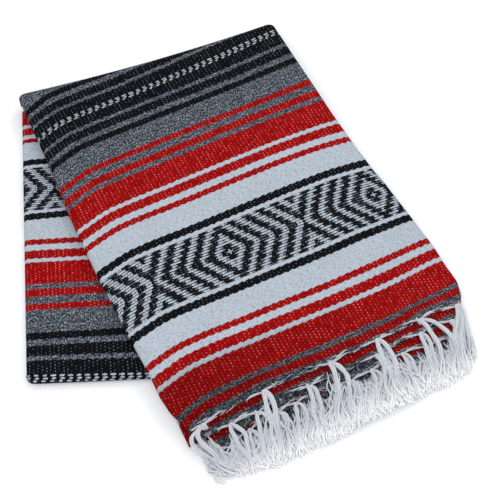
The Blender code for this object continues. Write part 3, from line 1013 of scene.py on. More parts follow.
@dataclass(frozen=True)
class Weave:
    """The cloth's structure, in mm: ribs along it, and the rows of weft beaten in over them.

    bare_half is half the width and height of a spot of bare warp, as shares of a rib and a row.
    """

    rib: float = 4.15
    row: float = 3.35
    wander: float = 0.55
    bare_half: Pair = (0.112, 0.185)

    def group(self) -> Tree:
        """Builds the group that draws the weave's relief, the warp that shows and the swelling of edges."""
        outputs = {name: "Float" for name in ("Height", "Warp", "Bulge", "Stagger", "Rib", "Row")}
        graph = NodeGroup("serape_weave", ("Across", "Along"), **outputs)
        across, along = graph.place
        drift = graph.cloth_noise(graph.place, (0.03, 0.02))
        rib = (across + drift.scaled(self.wander * 2.0, -self.wander)) * (1.0 / self.rib)
        in_rib = rib.part()
        parity = abs(rib.floor()) % 2.0
        row = along * (1.0 / self.row) + parity * 0.5
        in_row = row.part()
        crown = in_rib.sine()
        body = (crown**0.6).scaled(0.6, 0.4) * (in_row.sine() ** 0.7).scaled(0.5, 0.5)
        fibre = graph.cloth_noise(graph.place, (0.7, 2.2), 4.0, 0.65)
        luck, strewn = graph.cell(rib, row + 0.5)
        off_rib = in_rib - graph.channel(strewn, 0).scaled(0.30, 0.35)
        off_row = 0.5 - abs(in_row - 0.5)
        half_rib, half_row = self.bare_half
        spot = abs(off_rib * (1.0 / half_rib)) ** 2.0 + (off_row * (1.0 / half_row)) ** 2.0
        rib_luck, _ = graph.cell(rib, 0.0)
        strength = (luck**1.3 * rib_luck.scaled(1.1, 0.7)).clamped()
        return graph.finish(
            Height=body + fibre * 0.34,
            Warp=(1.0 - spot.step(0.3, 1.5)) * strength,
            Bulge=((rib * 0.5).part().sine() ** 0.6) * 0.85 + crown * 0.15,
            Stagger=parity,
            Rib=rib,
            Row=row,
        )


@dataclass(frozen=True)
class Heather:
    """Grey weft spun from mixed fibres, with light, dark and a few coloured flecks.

    fleck is a fibre's usual size across and along in mm, dyed_fleck that of a coloured one, and undyed the
    share of the cloth that isn't coloured.
    """

    fleck: Pair = (1.5, 2.1)
    dyed_fleck: Pair = (2.0, 1.5)
    undyed: float = 0.994

    def group(self) -> Tree:
        """Builds the group that draws the flecks over Across and Along in mm."""
        graph = NodeGroup("serape_heather", ("Across", "Along"), Color="Color")
        across, along = graph.place
        patch = graph.cloth_noise(graph.place, (0.11, 0.45), 1.0)
        flecks = graph.cloth_noise(graph.place, (1.0 / self.fleck[0], 1.0 / self.fleck[1]), 2.0, 0.75)
        greys = zip((0.36, 0.5, 0.66), map(opaque, (PALETTE.grey_dark, PALETTE.grey, PALETTE.grey_light)))
        grey, _ = graph.ramp(flecks + patch.scaled(0.22, -0.11), list(greys), "LINEAR")
        tint = graph.noise(graph.point(across * 0.5, along * 0.4), 1.0, output="Color")
        dyed = graph.vector("MULTIPLY_ADD", "Vector", _0=tint, _1=PALETTE.dye_range, _2=PALETTE.dye_least)
        chance, pick = graph.cell(across * (1.0 / self.dyed_fleck[0]), along * (1.0 / self.dyed_fleck[1]))
        yarns = (PALETTE.rust, PALETTE.ochre, PALETTE.green, PALETTE.blue)
        dyes = zip((0.0, 0.4, 0.6, 0.8), map(opaque, yarns))
        vivid, _ = graph.ramp(graph.channel(pick, 1), list(dyes), "CONSTANT")
        mixed = graph.blend(1.0, grey, dyed, "MULTIPLY")
        return graph.finish(Color=graph.blend((chance > self.undyed) * 0.6, mixed, vivid))


@dataclass(frozen=True)
class Stripes:
    """The serape's rows, as distances in mm from the middle of a diamond band. They mirror at both ends.

    A line's beads swell by swelling, and its yarn stands back by notch. The diamonds are rings of weft picks:
    ragged is how much longer every other pick is, tie_half the half width of a tie as a share of a rib, and
    each cross has its half width and height. A pick's end strays over edge_stray and thins over edge_fade.
    Loose threads are at chances above thread_from. Bare warp shows most in the red band, the widest black one
    and the diamonds.
    """

    repeat: float = 240.0
    past_end: float = 10.0
    grey_from: float = 118.0
    lines: tuple[tuple[float, float, Line], ...] = (
        (38.9, 45.2, Line.BLACK),
        (74.1, 79.4, Line.RED),
        (89.7, 98.2, Line.RED),
        (105.0, 131.5, Line.RED),
        (138.6, 146.5, Line.RED),
        (156.9, 161.6, Line.RED),
        (190.1, 196.1, Line.BLACK),
        (204.9, 214.8, Line.BLACK),
        (221.4, 240.0, Line.BLACK),
    )
    swelling: float = 1.35
    notch: float = 0.12
    diamond_middle: float = -30.5
    diamond_half: float = 84.75
    diamond_reach: float = 33.6
    diamond_slope: float = 0.69
    ring: float = 16.8
    ring_start: float = 18.2
    ring_black: float = 7.2
    pick: float = 3.08
    pick_cover: float = 0.58
    ragged: float = 1.4
    pick_length: float = 5.0
    edge_stray: float = 3.0
    edge_fade: Pair = (-1.4, 2.6)
    tie_half: float = 0.16
    tie_strength: float = 0.9
    thread_length: float = 8.0
    thread_half: float = 0.13
    thread_from: float = 0.74
    thread_strength: float = 0.3
    crosses: tuple[Pair, ...] = ((3.2, 0.6), (0.6, 3.0))
    tick_reach: float = 4.3
    tick_row: float = 2.9
    tick_apart: float = 8.3
    tick_half: float = 1.7
    tick_bar: float = 0.23
    tick_lean: float = 0.30
    tick_shift: float = 1.2
    stem_half: float = 0.5
    stem_strength: float = 0.6
    red_band: Pair = (102.0, 152.0)
    black_from: float = 186.0
    widest_black: Pair = (197.0, 203.0)
    figured: Pair = (48.0, 46.0)
    figured_more: float = 2.4
    stagger: float = 0.5
    tremble: float = 1.6

    def line_at(self, graph: Graph, place: Signal) -> Signals:
        """The colour of the line at a distance in mm, and whether there is a line."""
        yarns = {Line.RED: PALETTE.red, Line.BLACK: PALETTE.black}
        whole = self.repeat + self.past_end
        stops = [(0.0, (*PALETTE.white, 0.0))]
        for start, end, line in self.lines:
            stops.append(((start + self.notch) / whole, (*yarns[line], 1.0)))
            if end < self.repeat:
                stops.append(((end - self.notch) / whole, (*yarns[line], 0.0)))
        return graph.ramp(place * (1.0 / whole), stops, "CONSTANT")

    def diamonds(self, graph: Graph, across: Signal, place: Signal, rib: Signal) -> Signals:
        """Charts the concentric diamonds by their rows of weft.

        Args:
            graph: The tree to work in.
            across: u in mm.
            place: The distance from the band's middle in mm.
            rib: Ribs counted across.

        Returns:
            Where the band is, and where its white weft floats over the black.
        """
        picks = place * (1.0 / self.pick)
        row = picks.floor()
        parity = row % 2.0
        out = (across - self.diamond_middle).mirrored(self.diamond_half)
        level = (row + 0.5) * (self.pick * self.diamond_slope)
        turn = (out + level + (10.0 * self.ring - self.ring_start)) % self.ring
        half = (self.ring - self.ring_black) / 2.0
        off = abs(turn - (self.ring_black + self.ring) / 2.0)
        chance, _ = graph.cell(across * (1.0 / self.pick_length), picks)
        edge = parity.scaled(2.0 * self.ragged, half - self.ragged - 0.3) + chance.scaled(
            self.edge_stray, -self.edge_stray / 2.0
        )
        from_row = abs(picks.part() - 0.5)
        bar = from_row * 2.0 < (edge - off).step(*self.edge_fade) * self.pick_cover
        tie = (abs((rib + parity * 0.5).part() - 0.5) < self.tie_half) * (off < half - 1.6)
        (wide, low), (slim, tall) = self.crosses
        cross = ((out < wide) * (place < low)).most((out < slim) * (place < tall))
        loose, _ = graph.cell(across.scaled(1.0 / self.thread_length, 0.4), picks)
        thread = (from_row < self.thread_half) * loose.step(self.thread_from, 1.0)
        charted = bar.most(tie * self.tie_strength).most(cross)
        return place < self.diamond_reach, charted.most(thread * self.thread_strength)

    def ticks(self, graph: Graph, along: Signal, rib: Signal) -> Signal:
        """Charts the row of white ticks in the widest black line.

        Args:
            graph: The tree to work in.
            along: v in mm.
            rib: Ribs counted across.

        Returns:
            Where a tick is white.
        """
        offset = graph.math("FLOORED_MODULO", along, 2.0 * self.repeat) - self.repeat
        pair = rib * 0.5
        beats = offset.scaled(1.0 / self.tick_row, 100.5)
        luck, _ = graph.cell(pair, beats)
        lean = offset * self.tick_lean + (beats.floor() % 2.0).scaled(self.tick_shift, -self.tick_shift / 2.0)
        slanted = abs((pair.part() - 0.5) * self.tick_apart + lean)
        bar = (slanted < luck + self.tick_half) * (abs(beats.part() - 0.5) < self.tick_bar)
        stem = slanted < self.stem_half
        return (abs(offset) < self.tick_reach) * bar.most(stem * self.stem_strength)

    def group(self, heather: Tree) -> Tree:
        """Builds the group that charts the whole pattern.

        Args:
            heather: The group of the grey yarn.

        Returns:
            The node group.
        """
        inputs = ("Across", "Along", "Bulge", "Stagger", "Rib")
        graph = NodeGroup("serape_stripes", inputs, Color="Color", Pale="Float", Broad="Float")
        across, along = graph.place
        rib = graph.given["Rib"]
        tremble = graph.cloth_noise(graph.place, (0.35, 0.05))
        moved = along + graph.given["Stagger"].scaled(self.stagger, -self.stagger / 2.0)
        moved = moved + tremble.scaled(self.tremble, -self.tremble / 2.0)
        place = moved.mirrored(self.repeat)
        swelling = graph.given["Bulge"] * self.swelling
        first, first_on = self.line_at(graph, place + swelling)
        second, second_on = self.line_at(graph, place - swelling)
        white = opaque(PALETTE.white)
        beyond = place > self.grey_from
        ground = graph.blend(beyond, white, graph.group(heather, Across=across, Along=along)["Color"])
        inside, floats = self.diamonds(graph, across, along.mirrored(self.repeat), rib)
        ground = graph.blend(inside, ground, graph.blend(floats, opaque(PALETTE.gap), white))
        striped = graph.blend(second_on, graph.blend(first_on, ground, first), second)
        red_from, red_to = self.red_band
        broad = place.step(red_from, red_from + 1.0) * place.step(red_to, red_to - 1.0)
        broad = broad + place.step(*self.figured) * self.figured_more
        return graph.finish(
            Color=graph.blend(self.ticks(graph, along, rib), striped, white),
            Pale=(1.0 - beyond) * (1.0 - first_on.most(second_on)),
            Broad=broad + ((place > self.black_from) + place.step(*self.widest_black) * 2.0),
        )


@dataclass(frozen=True)
class ClothFinish:
    """Woven serape cloth.

    Painted shade darkens it by hem_shade_depth towards its hem, and by side_shade_depth on that end's left
    side, which side_shade_middle is the share of in the middle of the cloth; handled scales both. shade
    scales its brightness, and below 1 it paints shade on layers that lie under others.
    """

    name: str
    shade: float = 1.0
    relief: float = 0.9
    roughness: Pair = (0.86, 1.0)
    shine: float = 0.03
    painted_shade_amount: float = 1.0
    side_shade_span: Pair = (90.0, 112.0)
    side_shade_depth: float = 0.36
    side_shade_middle: float = 0.46
    side_shade_reach: float = 240.0
    hem_shade_span: Pair = (126.0, 138.0)
    hem_shade_depth: float = 0.20

    def painted_shade(self, across: Signal, along: Signal) -> Signal:
        """How bright the cloth stays under the painted shade towards its hem and on its left side."""
        leftward = across.scaled(-1.0 / self.side_shade_reach, self.side_shade_middle).clamped()
        side = (along.step(*self.side_shade_span) * leftward).scaled(-self.side_shade_depth * self.painted_shade_amount, 1.0)
        return side * along.step(*self.hem_shade_span).scaled(-self.hem_shade_depth * self.painted_shade_amount, 1.0)

    def bare_warp(
        self, graph: Graph, place: Signals, pattern: dict[str, Signal], warp: Signal
    ) -> Signal:
        """Lets the warp show between the rows, most where the stripe is broad.

        Args:
            graph: The tree to work in.
            place: u and v in mm.
            pattern: The outputs of the pattern's group.
            warp: Where there is a spot of bare warp.

        Returns:
            The cloth's colour with the warp in it.
        """
        colour = pattern["Color"]
        redness = (graph.channel(colour, 0) - graph.channel(colour, 1)).clamped()
        is_red = redness.step(0.05, 0.2)
        narrow = is_red * (1.0 - pattern["Broad"]).clamped()
        shares = pattern["Broad"].scaled(0.6, 0.4) + narrow * 0.5
        showing = (warp * (redness.scaled(1.30, 0.22) * shares)).clamped()
        odd = graph.cloth_noise(place, (0.3, 0.3), 1.0)
        bare = graph.blend(odd.step(0.4, 0.6), opaque(PALETTE.warp), opaque(PALETTE.warp_tan))
        return graph.blend(showing, colour, graph.blend(is_red, opaque(PALETTE.warp_cool), bare))

    def make(self, weave: Tree, stripes: Tree) -> Material:
        """Builds the material.

        Args:
            weave: The group of the weave's relief.
            stripes: The group of the pattern.

        Returns:
            The material, on the cloth's own UV map.
        """
        graph = Finish(self.name, Specular_IOR_Level=self.shine)
        across, along = place = graph.pattern_place()
        woven = graph.group(weave, Across=across, Along=along)
        parts = {name: woven[name] for name in ("Bulge", "Stagger", "Rib")}
        pattern = graph.group(stripes, Across=across, Along=along, **parts)
        pale = pattern["Pale"]
        firm = pale.scaled(-0.84, 1.0)
        # Painted shade in slanted dimples over the pale weft.
        slanted = graph.point(across * 0.25 + along * 0.92, across * 0.22 - along * 0.06)
        dash = graph.noise(slanted, 1.15, 2.0, 0.55).step(0.44, 0.70)
        dimple_shade = 1.0 - dash.scaled(0.36, 0.05) * pale
        grain = graph.cloth_noise(place, (0.62, 0.75), 3.0, 0.7).step(0.36, 0.66).scaled(0.80, -0.44) * firm
        yarn, _ = graph.cell(woven["Rib"], woven["Row"])
        fibre = graph.cloth_noise(place, (1.1, 3.0), 3.0, 0.6)
        broad = graph.cloth_noise(place, (0.02, 0.03), 3.0)
        uneven = fibre.scaled(0.20, 0.86) + broad.scaled(0.14, -0.07)
        tone = yarn.scaled(0.30, -0.15) * firm + grain + uneven
        # Painted shade in the weave's low places: the colour darkens where its relief is low.
        hollow_shade = woven["Height"].step(0.05, 0.85).scaled(0.42, -0.42) * firm
        # Painted shade: the weave's hollows, the dimples, and the darker hem and left side all darken the
        # tone.
        tone = tone * dimple_shade * hollow_shade.scaled(self.shade, self.shade) * self.painted_shade(across, along)
        colour = self.bare_warp(graph, place, pattern, woven["Warp"])
        low, high = self.roughness
        graph.colour(graph.vector("SCALE", "Vector", _0=colour, Scale=tone), fibre.scaled(high - low, low))
        graph.relief(woven["Height"] * pale.scaled(-0.90, 1.0), 1.0, self.relief)
        return graph.material


@dataclass(frozen=True)
class YarnFinish:
    """Twisted white warp yarn, with painted shade near the hems that brightens to its own colour towards the
    tips, between the v in mm that opens gives.
    """

    name: str
    colour: Colour = (0.975, 0.98, 0.995)
    shade: Colour = (0.500, 0.528, 0.580)
    shade_fade_v: Pair = (193.0, 224.0)
    twist: float = 5.0
    roughness: Pair = (0.85, 1.0)
    shine: float = 0.03
    sheen: float = 0.7
    sheen_roughness: float = 0.6
    glow: float = 0.3
    glow_depth: float = 4.0

    def make(self) -> Material:
        """Builds the material, on the yarn's own UV map: around it, and along it in metres."""
        graph = Finish(
            self.name,
            Sheen_Weight=self.sheen,
            Sheen_Roughness=self.sheen_roughness,
            Subsurface_Weight=self.glow,
            Subsurface_Radius=(1.0, 1.0, 1.0),
            Subsurface_Scale=self.glow_depth * MM,
            Specular_IOR_Level=self.shine,
        )
        around, along = graph.pattern_place()
        ply = abs((around * 0.2 + along * (1.0 / self.twist)).sine())
        place = Signal(graph, graph.node("ShaderNodeTexCoord").outputs["Object"])
        fibre = graph.noise(place, 900.0, 3.0, 0.6)
        ply_shade_and_flecks = ply.scaled(0.16, -0.08) + (fibre + graph.noise(place, 55.0)).scaled(0.2, -0.2)
        middle_v = float(PLAN.uv_of(np.array(PLAN.origin))[1])
        v = graph.vector("DOT_PRODUCT", "Value", _0=place, _1=(*(PLAN.v_axis / MM), 0.0)) + middle_v
        # Painted shade: darker near the hems and in the ply's grooves, brightening to the yarn's colour
        # towards the tips; the fibre noise varies its tone.
        opened = (v.step(*self.shade_fade_v) + ply_shade_and_flecks).clamped()
        low, high = self.roughness
        white = graph.blend(opened, opaque(self.shade), opaque(self.colour))
        graph.colour(white, fibre.scaled(high - low, low))
        graph.relief(ply**0.6 + fibre * 0.5, 0.8, 0.4)
        return graph.material


# The pieces.


@dataclass
class CarriedPiece:
    """What every piece has: its name, the CAD node that it stands for, and its object once built."""

    name: str
    node: str
    made: Piece | None = None

    def fit(self, piece: Piece, finish: Material) -> Piece:
        """Dresses a piece and ties it to the frame.

        Args:
            piece: The finished mesh object.
            finish: Its material.

        Returns:
            The same object.
        """
        piece.data.materials.clear()
        piece.data.materials.append(finish)
        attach(piece, "root")
        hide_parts(self.node)
        self.made = piece
        LOG.info("%s: %d faces", piece.name, len(piece.data.polygons))
        return piece

    def fit_sheet(self, points: Array, pattern: Array, finish: Material) -> Piece:
        """Lays a sheet of cloth on a surface, gives it its wall and dresses it.

        Args:
            points: Rows of columns of points in mm on the plan.
            pattern: The place of each point in the cloth's pattern, in mm.
            finish: Its material.

        Returns:
            The new object.
        """
        piece = add_grid(self.name, PLAN.centred(points), pattern)
        give_wall(piece, PLAN.cloth)
        return self.fit(piece, finish)


@dataclass
class UpperPanel(CarriedPiece):
    """The outer cloth of the upper stack, from under the top fold, over it, and down to the first hem."""

    name: str = "upper_panel"
    node: str = "upper_cloth"
    flat_columns: int = 164
    edge_columns: int = 8
    first_angle: float = 42.0
    fold_rows: int = 16
    rows: int = 226

    def build(self, finish: Material) -> Piece:
        """Builds and dresses the panel."""
        columns = Columns.evenly(self.flat_columns, self.edge_columns, PLAN.last_turn)
        angles = np.linspace(self.first_angle, 180.0, self.fold_rows)[:, None]
        folded, folded_flat = PLAN.roll_over(PLAN.fold(angles, columns.share), columns)
        along = (np.arange(1, self.rows + 1) / self.rows)[:, None]
        laid, laid_flat = PLAN.roll_over(PLAN.upper(along + 0.0 * columns.share, columns.share), columns)
        pattern = upper_pattern(np.concatenate([folded_flat, laid_flat]))
        return self.fit_sheet(np.concatenate([folded, PLAN.follow_hem(laid)]), pattern, finish)


@dataclass
class LowerPanel(CarriedPiece):
    """The top cloth of the lower stack, from under its near fold to the crease of the top fold."""

    name: str = "lower_panel"
    node: str = "lower_cloth"
    flat_columns: int = 130
    edge_columns: int = 8
    first_angle: float = 150.0
    near_rows: int = 14
    rows: int = 140
    short_of_fold: float = 5.0

    def build(self, finish: Material) -> Piece:
        """Builds and dresses the panel."""
        columns = Columns.evenly(self.flat_columns, self.edge_columns, PLAN.last_turn)
        angles = np.linspace(self.first_angle, 0.0, self.near_rows)[:, None]
        near, near_flat = PLAN.roll_over(PLAN.near(angles, columns.share), columns)
        start = PLAN.near_roll_along
        last = 1.0 - self.short_of_fold / (PLAN.fold_left[1] - PLAN.near_left[1])
        along = (start + (last - start) * np.arange(1, self.rows + 1) / self.rows)[:, None]
        laid, laid_flat = PLAN.roll_over(PLAN.lower(along + 0.0 * columns.share, columns.share), columns)
        pattern = LOWER_PATTERN.at(np.concatenate([near_flat, laid_flat]))
        return self.fit_sheet(np.concatenate([near, laid]), pattern, finish)


@dataclass
class FoldedLayers(CarriedPiece):
    """The layers inside both stacks, one inside the other, which show as rounded edges at the sides.

    A side has its inset in mm at shares of the thickness. The upper stack's profile takes over within half of
    profile_turn round the fold. The near end closes over near_angles, and its sides stand back there by
    near_corner, and by near_taper more for each mm further out.
    """

    name: str = "folded_layers"
    node: str = "hidden_layers"
    shares: int = 24
    side_points: int = 26
    near_angles: tuple[float, float, int] = (84.0, 20.0, 7)
    near_corner: float = 3.9
    near_taper: float = 0.25
    near_gap: float = 0.5
    lower_rings: int = 120
    short_of_fold: float = 4.0
    profile_turn: float = 48.0
    fold_tuck: float = 4.0
    fold_inset: float = 1.8
    lip_angles: Numbers = (0.0, 12.0, 24.0, 33.0)
    first_angle: float = 42.0
    fold_rings: int = 18
    upper_rings: int = 150
    core_end: float = 0.96
    lower_side: tuple[Pair, ...] = (
        (0.00, 9.2), (0.08, 5.4), (0.28, 3.3), (0.50, 3.9),
        (0.61, 1.0), (0.74, 3.7), (0.86, 1.0), (1.00, 4.2),
    )
    upper_side: tuple[Pair, ...] = (
        (0.00, 4.2), (0.17, 1.0), (0.32, 3.7), (0.45, 1.0),
        (0.57, 4.1), (0.78, 3.4), (0.94, 5.5), (1.00, 9.2),
    )

    def _side(self, table: Array) -> Arrays:
        """A side's rounded profile, as shares of the thickness and insets."""
        depth = np.linspace(0.0, 1.0, self.side_points)
        low = np.clip(np.searchsorted(table[:, 0], depth) - 1, 0, len(table) - 2)
        share = np.clip((depth - table[low, 0]) / (table[low + 1, 0] - table[low, 0]), 0.0, 1.0)
        return depth, mix(table[low, 1], table[low + 1, 1], ease(share))

    def _ring(self, inner: Face, outer: Face, table: Array, corner: float = 0.0) -> Arrays:
        """One ring round the layers.

        Args:
            inner: Gives points, unrolled plan points and the direction across on the inner face, at shares.
            outer: Gives the same on the outer face.
            table: The side's profile.
            corner: How much narrower the ring is, in mm.

        Returns:
            The ring's points in mm, and their unrolled plan points.
        """
        shares = np.linspace(0.0, 1.0, self.shares)
        top, top_flat, _ = outer(shares)
        bottom, bottom_flat, _ = inner(shares[::-1])
        depth, inset = self._side(table)
        sides = []
        for share, sign in ((1.0, 1.0), (0.0, -1.0)):
            low, low_flat, across = inner(np.array([share]))
            high, high_flat, _ = outer(np.array([share]))
            reach = sign * (PLAN.roll_across - inset - corner)
            points = mix(low, high, depth[:, None]) + across * reach[:, None]
            flat = mix(low_flat, high_flat, depth[:, None]) + across[..., :2] * reach[:, None]
            order = slice(None, None, -1) if share else slice(None)
            sides.append((points[order], flat[order]))
        right, left = sides
        points = np.concatenate([top, right[0], bottom, left[0]])
        return points, np.concatenate([top_flat, right[1], bottom_flat, left[1]])

    @staticmethod
    def _level(along: float, height: float, forward: float = 0.0) -> Face:
        """A level line across the lower stack.

        Args:
            along: 0 at its near end and 1 at the fold's axis.
            height: The line's height in mm.
            forward: How much nearer the line is, in mm.

        Returns:
            A function of shares that gives points, unrolled plan points and the direction across.
        """

        def face(share: Array) -> tuple[Array, Array, Array]:
            """The line at shares across the stack."""
            start = PLAN.lower(np.full_like(share, along), share)
            point = start.point.copy()
            point[..., 1] -= forward
            point[..., 2] = height
            return point, point[..., :2], start.across

        return face

    def _near_rings(self) -> list[Arrays]:
        """Rings round the near end of the lower stack."""
        reach = PLAN.roll_across - PLAN.cloth - PLAN.core_gap
        tall = PLAN.near_roll_down - PLAN.cloth - self.near_gap
        middle = PLAN.lower_top - PLAN.near_roll_down
        table = np.array(self.lower_side)
        stations = []
        for angle in np.radians(np.linspace(*self.near_angles)):
            forward, half = reach * math.sin(angle), tall * math.cos(angle)
            corner = self.near_corner + self.near_taper * forward
            stations.append((forward, middle - half, middle + half, corner))
        stations.append((-0.4, 0.0, PLAN.lower_core - 0.1, 3.8))
        stations.append((-6.5, 0.0, PLAN.lower_core, 0.0))
        start = PLAN.near_roll_along
        return [
            self._ring(self._level(start, high, forward), self._level(start, low, forward), table, corner)
            for forward, low, high, corner in stations
        ]

    def _lower_rings(self) -> list[Arrays]:
        """Rings along the lower stack."""
        table = np.array(self.lower_side)
        last = 1.0 - self.short_of_fold / (PLAN.fold_left[1] - PLAN.near_left[1])
        return [
            self._ring(self._level(along, PLAN.lower_core), self._level(along, 0.0), table)
            for along in np.linspace(PLAN.near_roll_along, last, self.lower_rings + 1)[3:]
        ]

    def _fold_rings(self) -> list[Arrays]:
        """Rings round the top fold, between the outer cloth and the slot that the lower cloth ends in."""
        rings = []
        slot_middle = (PLAN.lower_core + PLAN.upper_base) / 2.0
        slot = (PLAN.upper_base - PLAN.lower_core) / 2.0
        depth = PLAN.cloth + PLAN.core_gap
        reach = PLAN.fold_reach - depth
        furthest = reach * math.sin(math.radians(self.first_angle))
        normal = np.append(PLAN.fold_normal, 0.0)
        for angle in (*self.lip_angles, *np.linspace(self.first_angle, 180.0, self.fold_rings)):
            turn = math.radians(angle)

            def outer(share: Array, angle: float = angle, turn: float = turn) -> tuple[Array, Array, Array]:
                """The line under the outer cloth, or on the lip beneath the fold."""
                spread = PLAN.fold(np.full_like(share, angle), share)
                point = spread.point + spread.inward * depth
                if angle < self.first_angle:
                    lip = PLAN.fold(np.full_like(share, self.first_angle), share)
                    start = PLAN.fold(np.zeros_like(share), share)
                    rise = (lip.point + lip.inward * depth)[..., 2]
                    forward = reach * math.sin(turn)
                    point = start.point + normal * forward
                    point[..., 2] = rise * (forward + self.fold_tuck) / (furthest + self.fold_tuck)
                return point, spread.flat, spread.across

            def inner(share: Array, turn: float = turn) -> tuple[Array, Array, Array]:
                """The line round the slot."""
                start = PLAN.fold(np.zeros_like(share), share)
                point = start.point + normal * (slot * math.sin(turn))
                point[..., 2] = slot_middle - slot * math.cos(turn)
                spread = PLAN.fold(np.full_like(share, math.degrees(turn)), share)
                return point, spread.flat, spread.across

            blend = min(1.0, 0.5 + angle / self.profile_turn)
            table = mix(np.array(self.lower_side), np.array(self.upper_side), blend)
            rings.append(self._ring(inner, outer, table, self.fold_inset * math.sin(turn)))
        return rings

    def _upper_rings(self) -> list[Arrays]:
        """Rings along the upper stack, to where the hems start to show one by one."""
        rings = []
        depth = PLAN.cloth + PLAN.core_gap
        for along in np.linspace(0.0, self.core_end, self.upper_rings + 1)[1:]:

            def outer(share: Array, along: float = along) -> tuple[Array, Array, Array]:
                """The line under the outer cloth."""
                spread = PLAN.upper(np.full_like(share, along), share)
                return spread.point + spread.inward * depth, spread.flat, spread.across

            def inner(share: Array, along: float = along) -> tuple[Array, Array, Array]:
                """The line that the stack rests on."""
                spread = PLAN.upper(np.full_like(share, along), share)
                point = spread.point.copy()
                point[..., 2] = PLAN.rest_height(point[..., :2])
                return point, spread.flat, spread.across

            rings.append(self._ring(inner, outer, np.array(self.upper_side)))
        return rings

    def build(self, finish: Material) -> Piece:
        """Builds and dresses the layers."""
        lower = self._near_rings() + self._lower_rings()
        upper = self._fold_rings() + self._upper_rings()
        points = np.stack([ring for ring, _ in lower + upper])
        pattern = np.concatenate(
            [
                LOWER_PATTERN.at(np.stack([flat for _, flat in lower])),
                upper_pattern(np.stack([flat for _, flat in upper])),
            ]
        )
        points = np.concatenate([points, points[:, :1]], axis=1)
        pattern = np.concatenate([pattern, pattern[:, :1]], axis=1)
        piece = add_grid(self.name, PLAN.centred(points), pattern)
        edit_all(
            piece,
            lambda: bpy.ops.mesh.remove_doubles(threshold=0.01 * MM),
            lambda: bpy.ops.mesh.fill_holes(sides=0),
            bpy.ops.mesh.normals_make_consistent,
        )
        bpy.ops.object.shade_smooth_by_angle(angle=SMOOTH_ANGLE)
        return self.fit(piece, finish)


@dataclass
class HemLayer(CarriedPiece):
    """One hidden layer's cloth where it shows past the layer above it.

    last_row is v of the pattern's row at its edge. Its rows differ from those of the layer above: grey_middle
    is how much more grey shows from grey_left to grey_right, right_drop how far the rows are set back on the
    right, and turned_in how far at the left corner. Each place is a u in mm, with how far the change reaches.
    """

    name: str = ""
    node: str = ""
    hem: Hem = HEMS[1]
    columns: int = 200
    row_step: float = 1.2
    last_row: float = 157.0
    grey_middle: float = 0.0
    grey_left: Pair = (-118.0, 14.0)
    grey_right: Pair = (32.0, 34.0)
    right_drop: float = 0.0
    right_from: Pair = (20.0, 50.0)
    turned_in: float = 0.0
    turned_to: Pair = (-156.3, 9.0)
    drift_v: float = 135.0
    drift_share: float = 0.4

    @staticmethod
    def _past(u: Array, place: Pair) -> Array:
        """A soft step to the right of a place, over its reach."""
        return ease((u - place[0]) / place[1])

    def build(self, finish: Material) -> Piece:
        """Builds and dresses the layer."""
        hem = self.hem
        u = np.linspace(hem.left, hem.right, self.columns)[None, :]
        rows = int((hem.v - PLAN.hidden_hems_v) / self.row_step) + 1
        along = np.linspace(0.0, 1.0, rows)[:, None]
        v = mix(PLAN.hidden_hems_v, hem.line(u), along)
        plan = PLAN.place(u, v)
        height = PLAN.rest_height(plan) + PLAN.hem_depth - (hem.number - 1) * PLAN.pitch
        greyer = self.grey_middle * self._past(u, self.grey_left) * (1.0 - self._past(u, self.grey_right))
        pattern_v = self.last_row - (1.0 - along) * (hem.v - PLAN.hidden_hems_v) * (1.0 - greyer)
        pattern_v = pattern_v - self.right_drop * self._past(u, self.right_from)
        points = np.concatenate([plan, height[..., None]], -1)
        drift = DRIFT.at(u + 0.0 * v, np.full(v.shape, self.drift_v))
        turned_in = self.turned_in * (1.0 - self._past(u, self.turned_to))
        pattern = np.stack([u + 0.0 * v, pattern_v - self.drift_share * drift - turned_in], -1)
        return self.fit_sheet(points, pattern, finish)


@dataclass(frozen=True)
class FringeOutline:
    """Where the loose ends of the fringe stop, as v at stations of u in mm.

    Some ropes of the top row are swept aside: swept has the knot, the side of it and six places of u down the
    rope. falls has where a strand ends, as u, for where it starts.
    """

    at_u: Numbers = (
        -153.0, -149.0, -142.6, -124.0, -91.0, -60.0, 100.0, 118.0, 131.0, 139.0, 144.5, 148.5, 152.0,
    )
    at_v: Numbers = (
        166.0, 184.0, 200.0, 212.0, 219.0, 221.0, 221.0, 219.5, 215.0, 208.0, 199.0, 188.0, 175.0,
    )
    swept: tuple[tuple[float, float, Numbers], ...] = (
        (106.0, -1.0, (105.0, 108.5, 109.5, 109.8, 104.5, 99.0)),
        (106.0, 1.0, (107.3, 117.0, 124.0, 127.0, 122.5, 116.0)),
        (149.5, -1.0, (148.2, 146.0, 138.5, 128.5, 122.5, 117.5)),
        (149.5, 0.0, (149.4, 149.0, 144.0, 136.0, 129.0, 124.5)),
    )
    falls: tuple[Pair, ...] = (
        (-150.0, -139.0), (-110.0, -108.0), (-85.0, -94.0), (-70.0, -85.0), (-45.0, -54.0), (-29.0, -36.0),
        (1.0, -12.0), (30.0, 22.0), (54.0, 50.0), (106.0, 99.0), (150.0, 135.0),
    )

    def tip(self, u: Array) -> Array:
        """v where a strand that comes down at u ends."""
        return np.interp(u, self.at_u, self.at_v)

    def sweep(self, knot: float, place: float) -> Numbers | None:
        """u at the bends of a rope that is swept aside."""
        return next((bends for at, side, bends in self.swept if (at, side) == (knot, place)), None)

    def fall(self, u: Array) -> Array:
        """u where a strand that starts at u ends."""
        start, end = np.array(self.falls).T
        return np.interp(u, start, end)


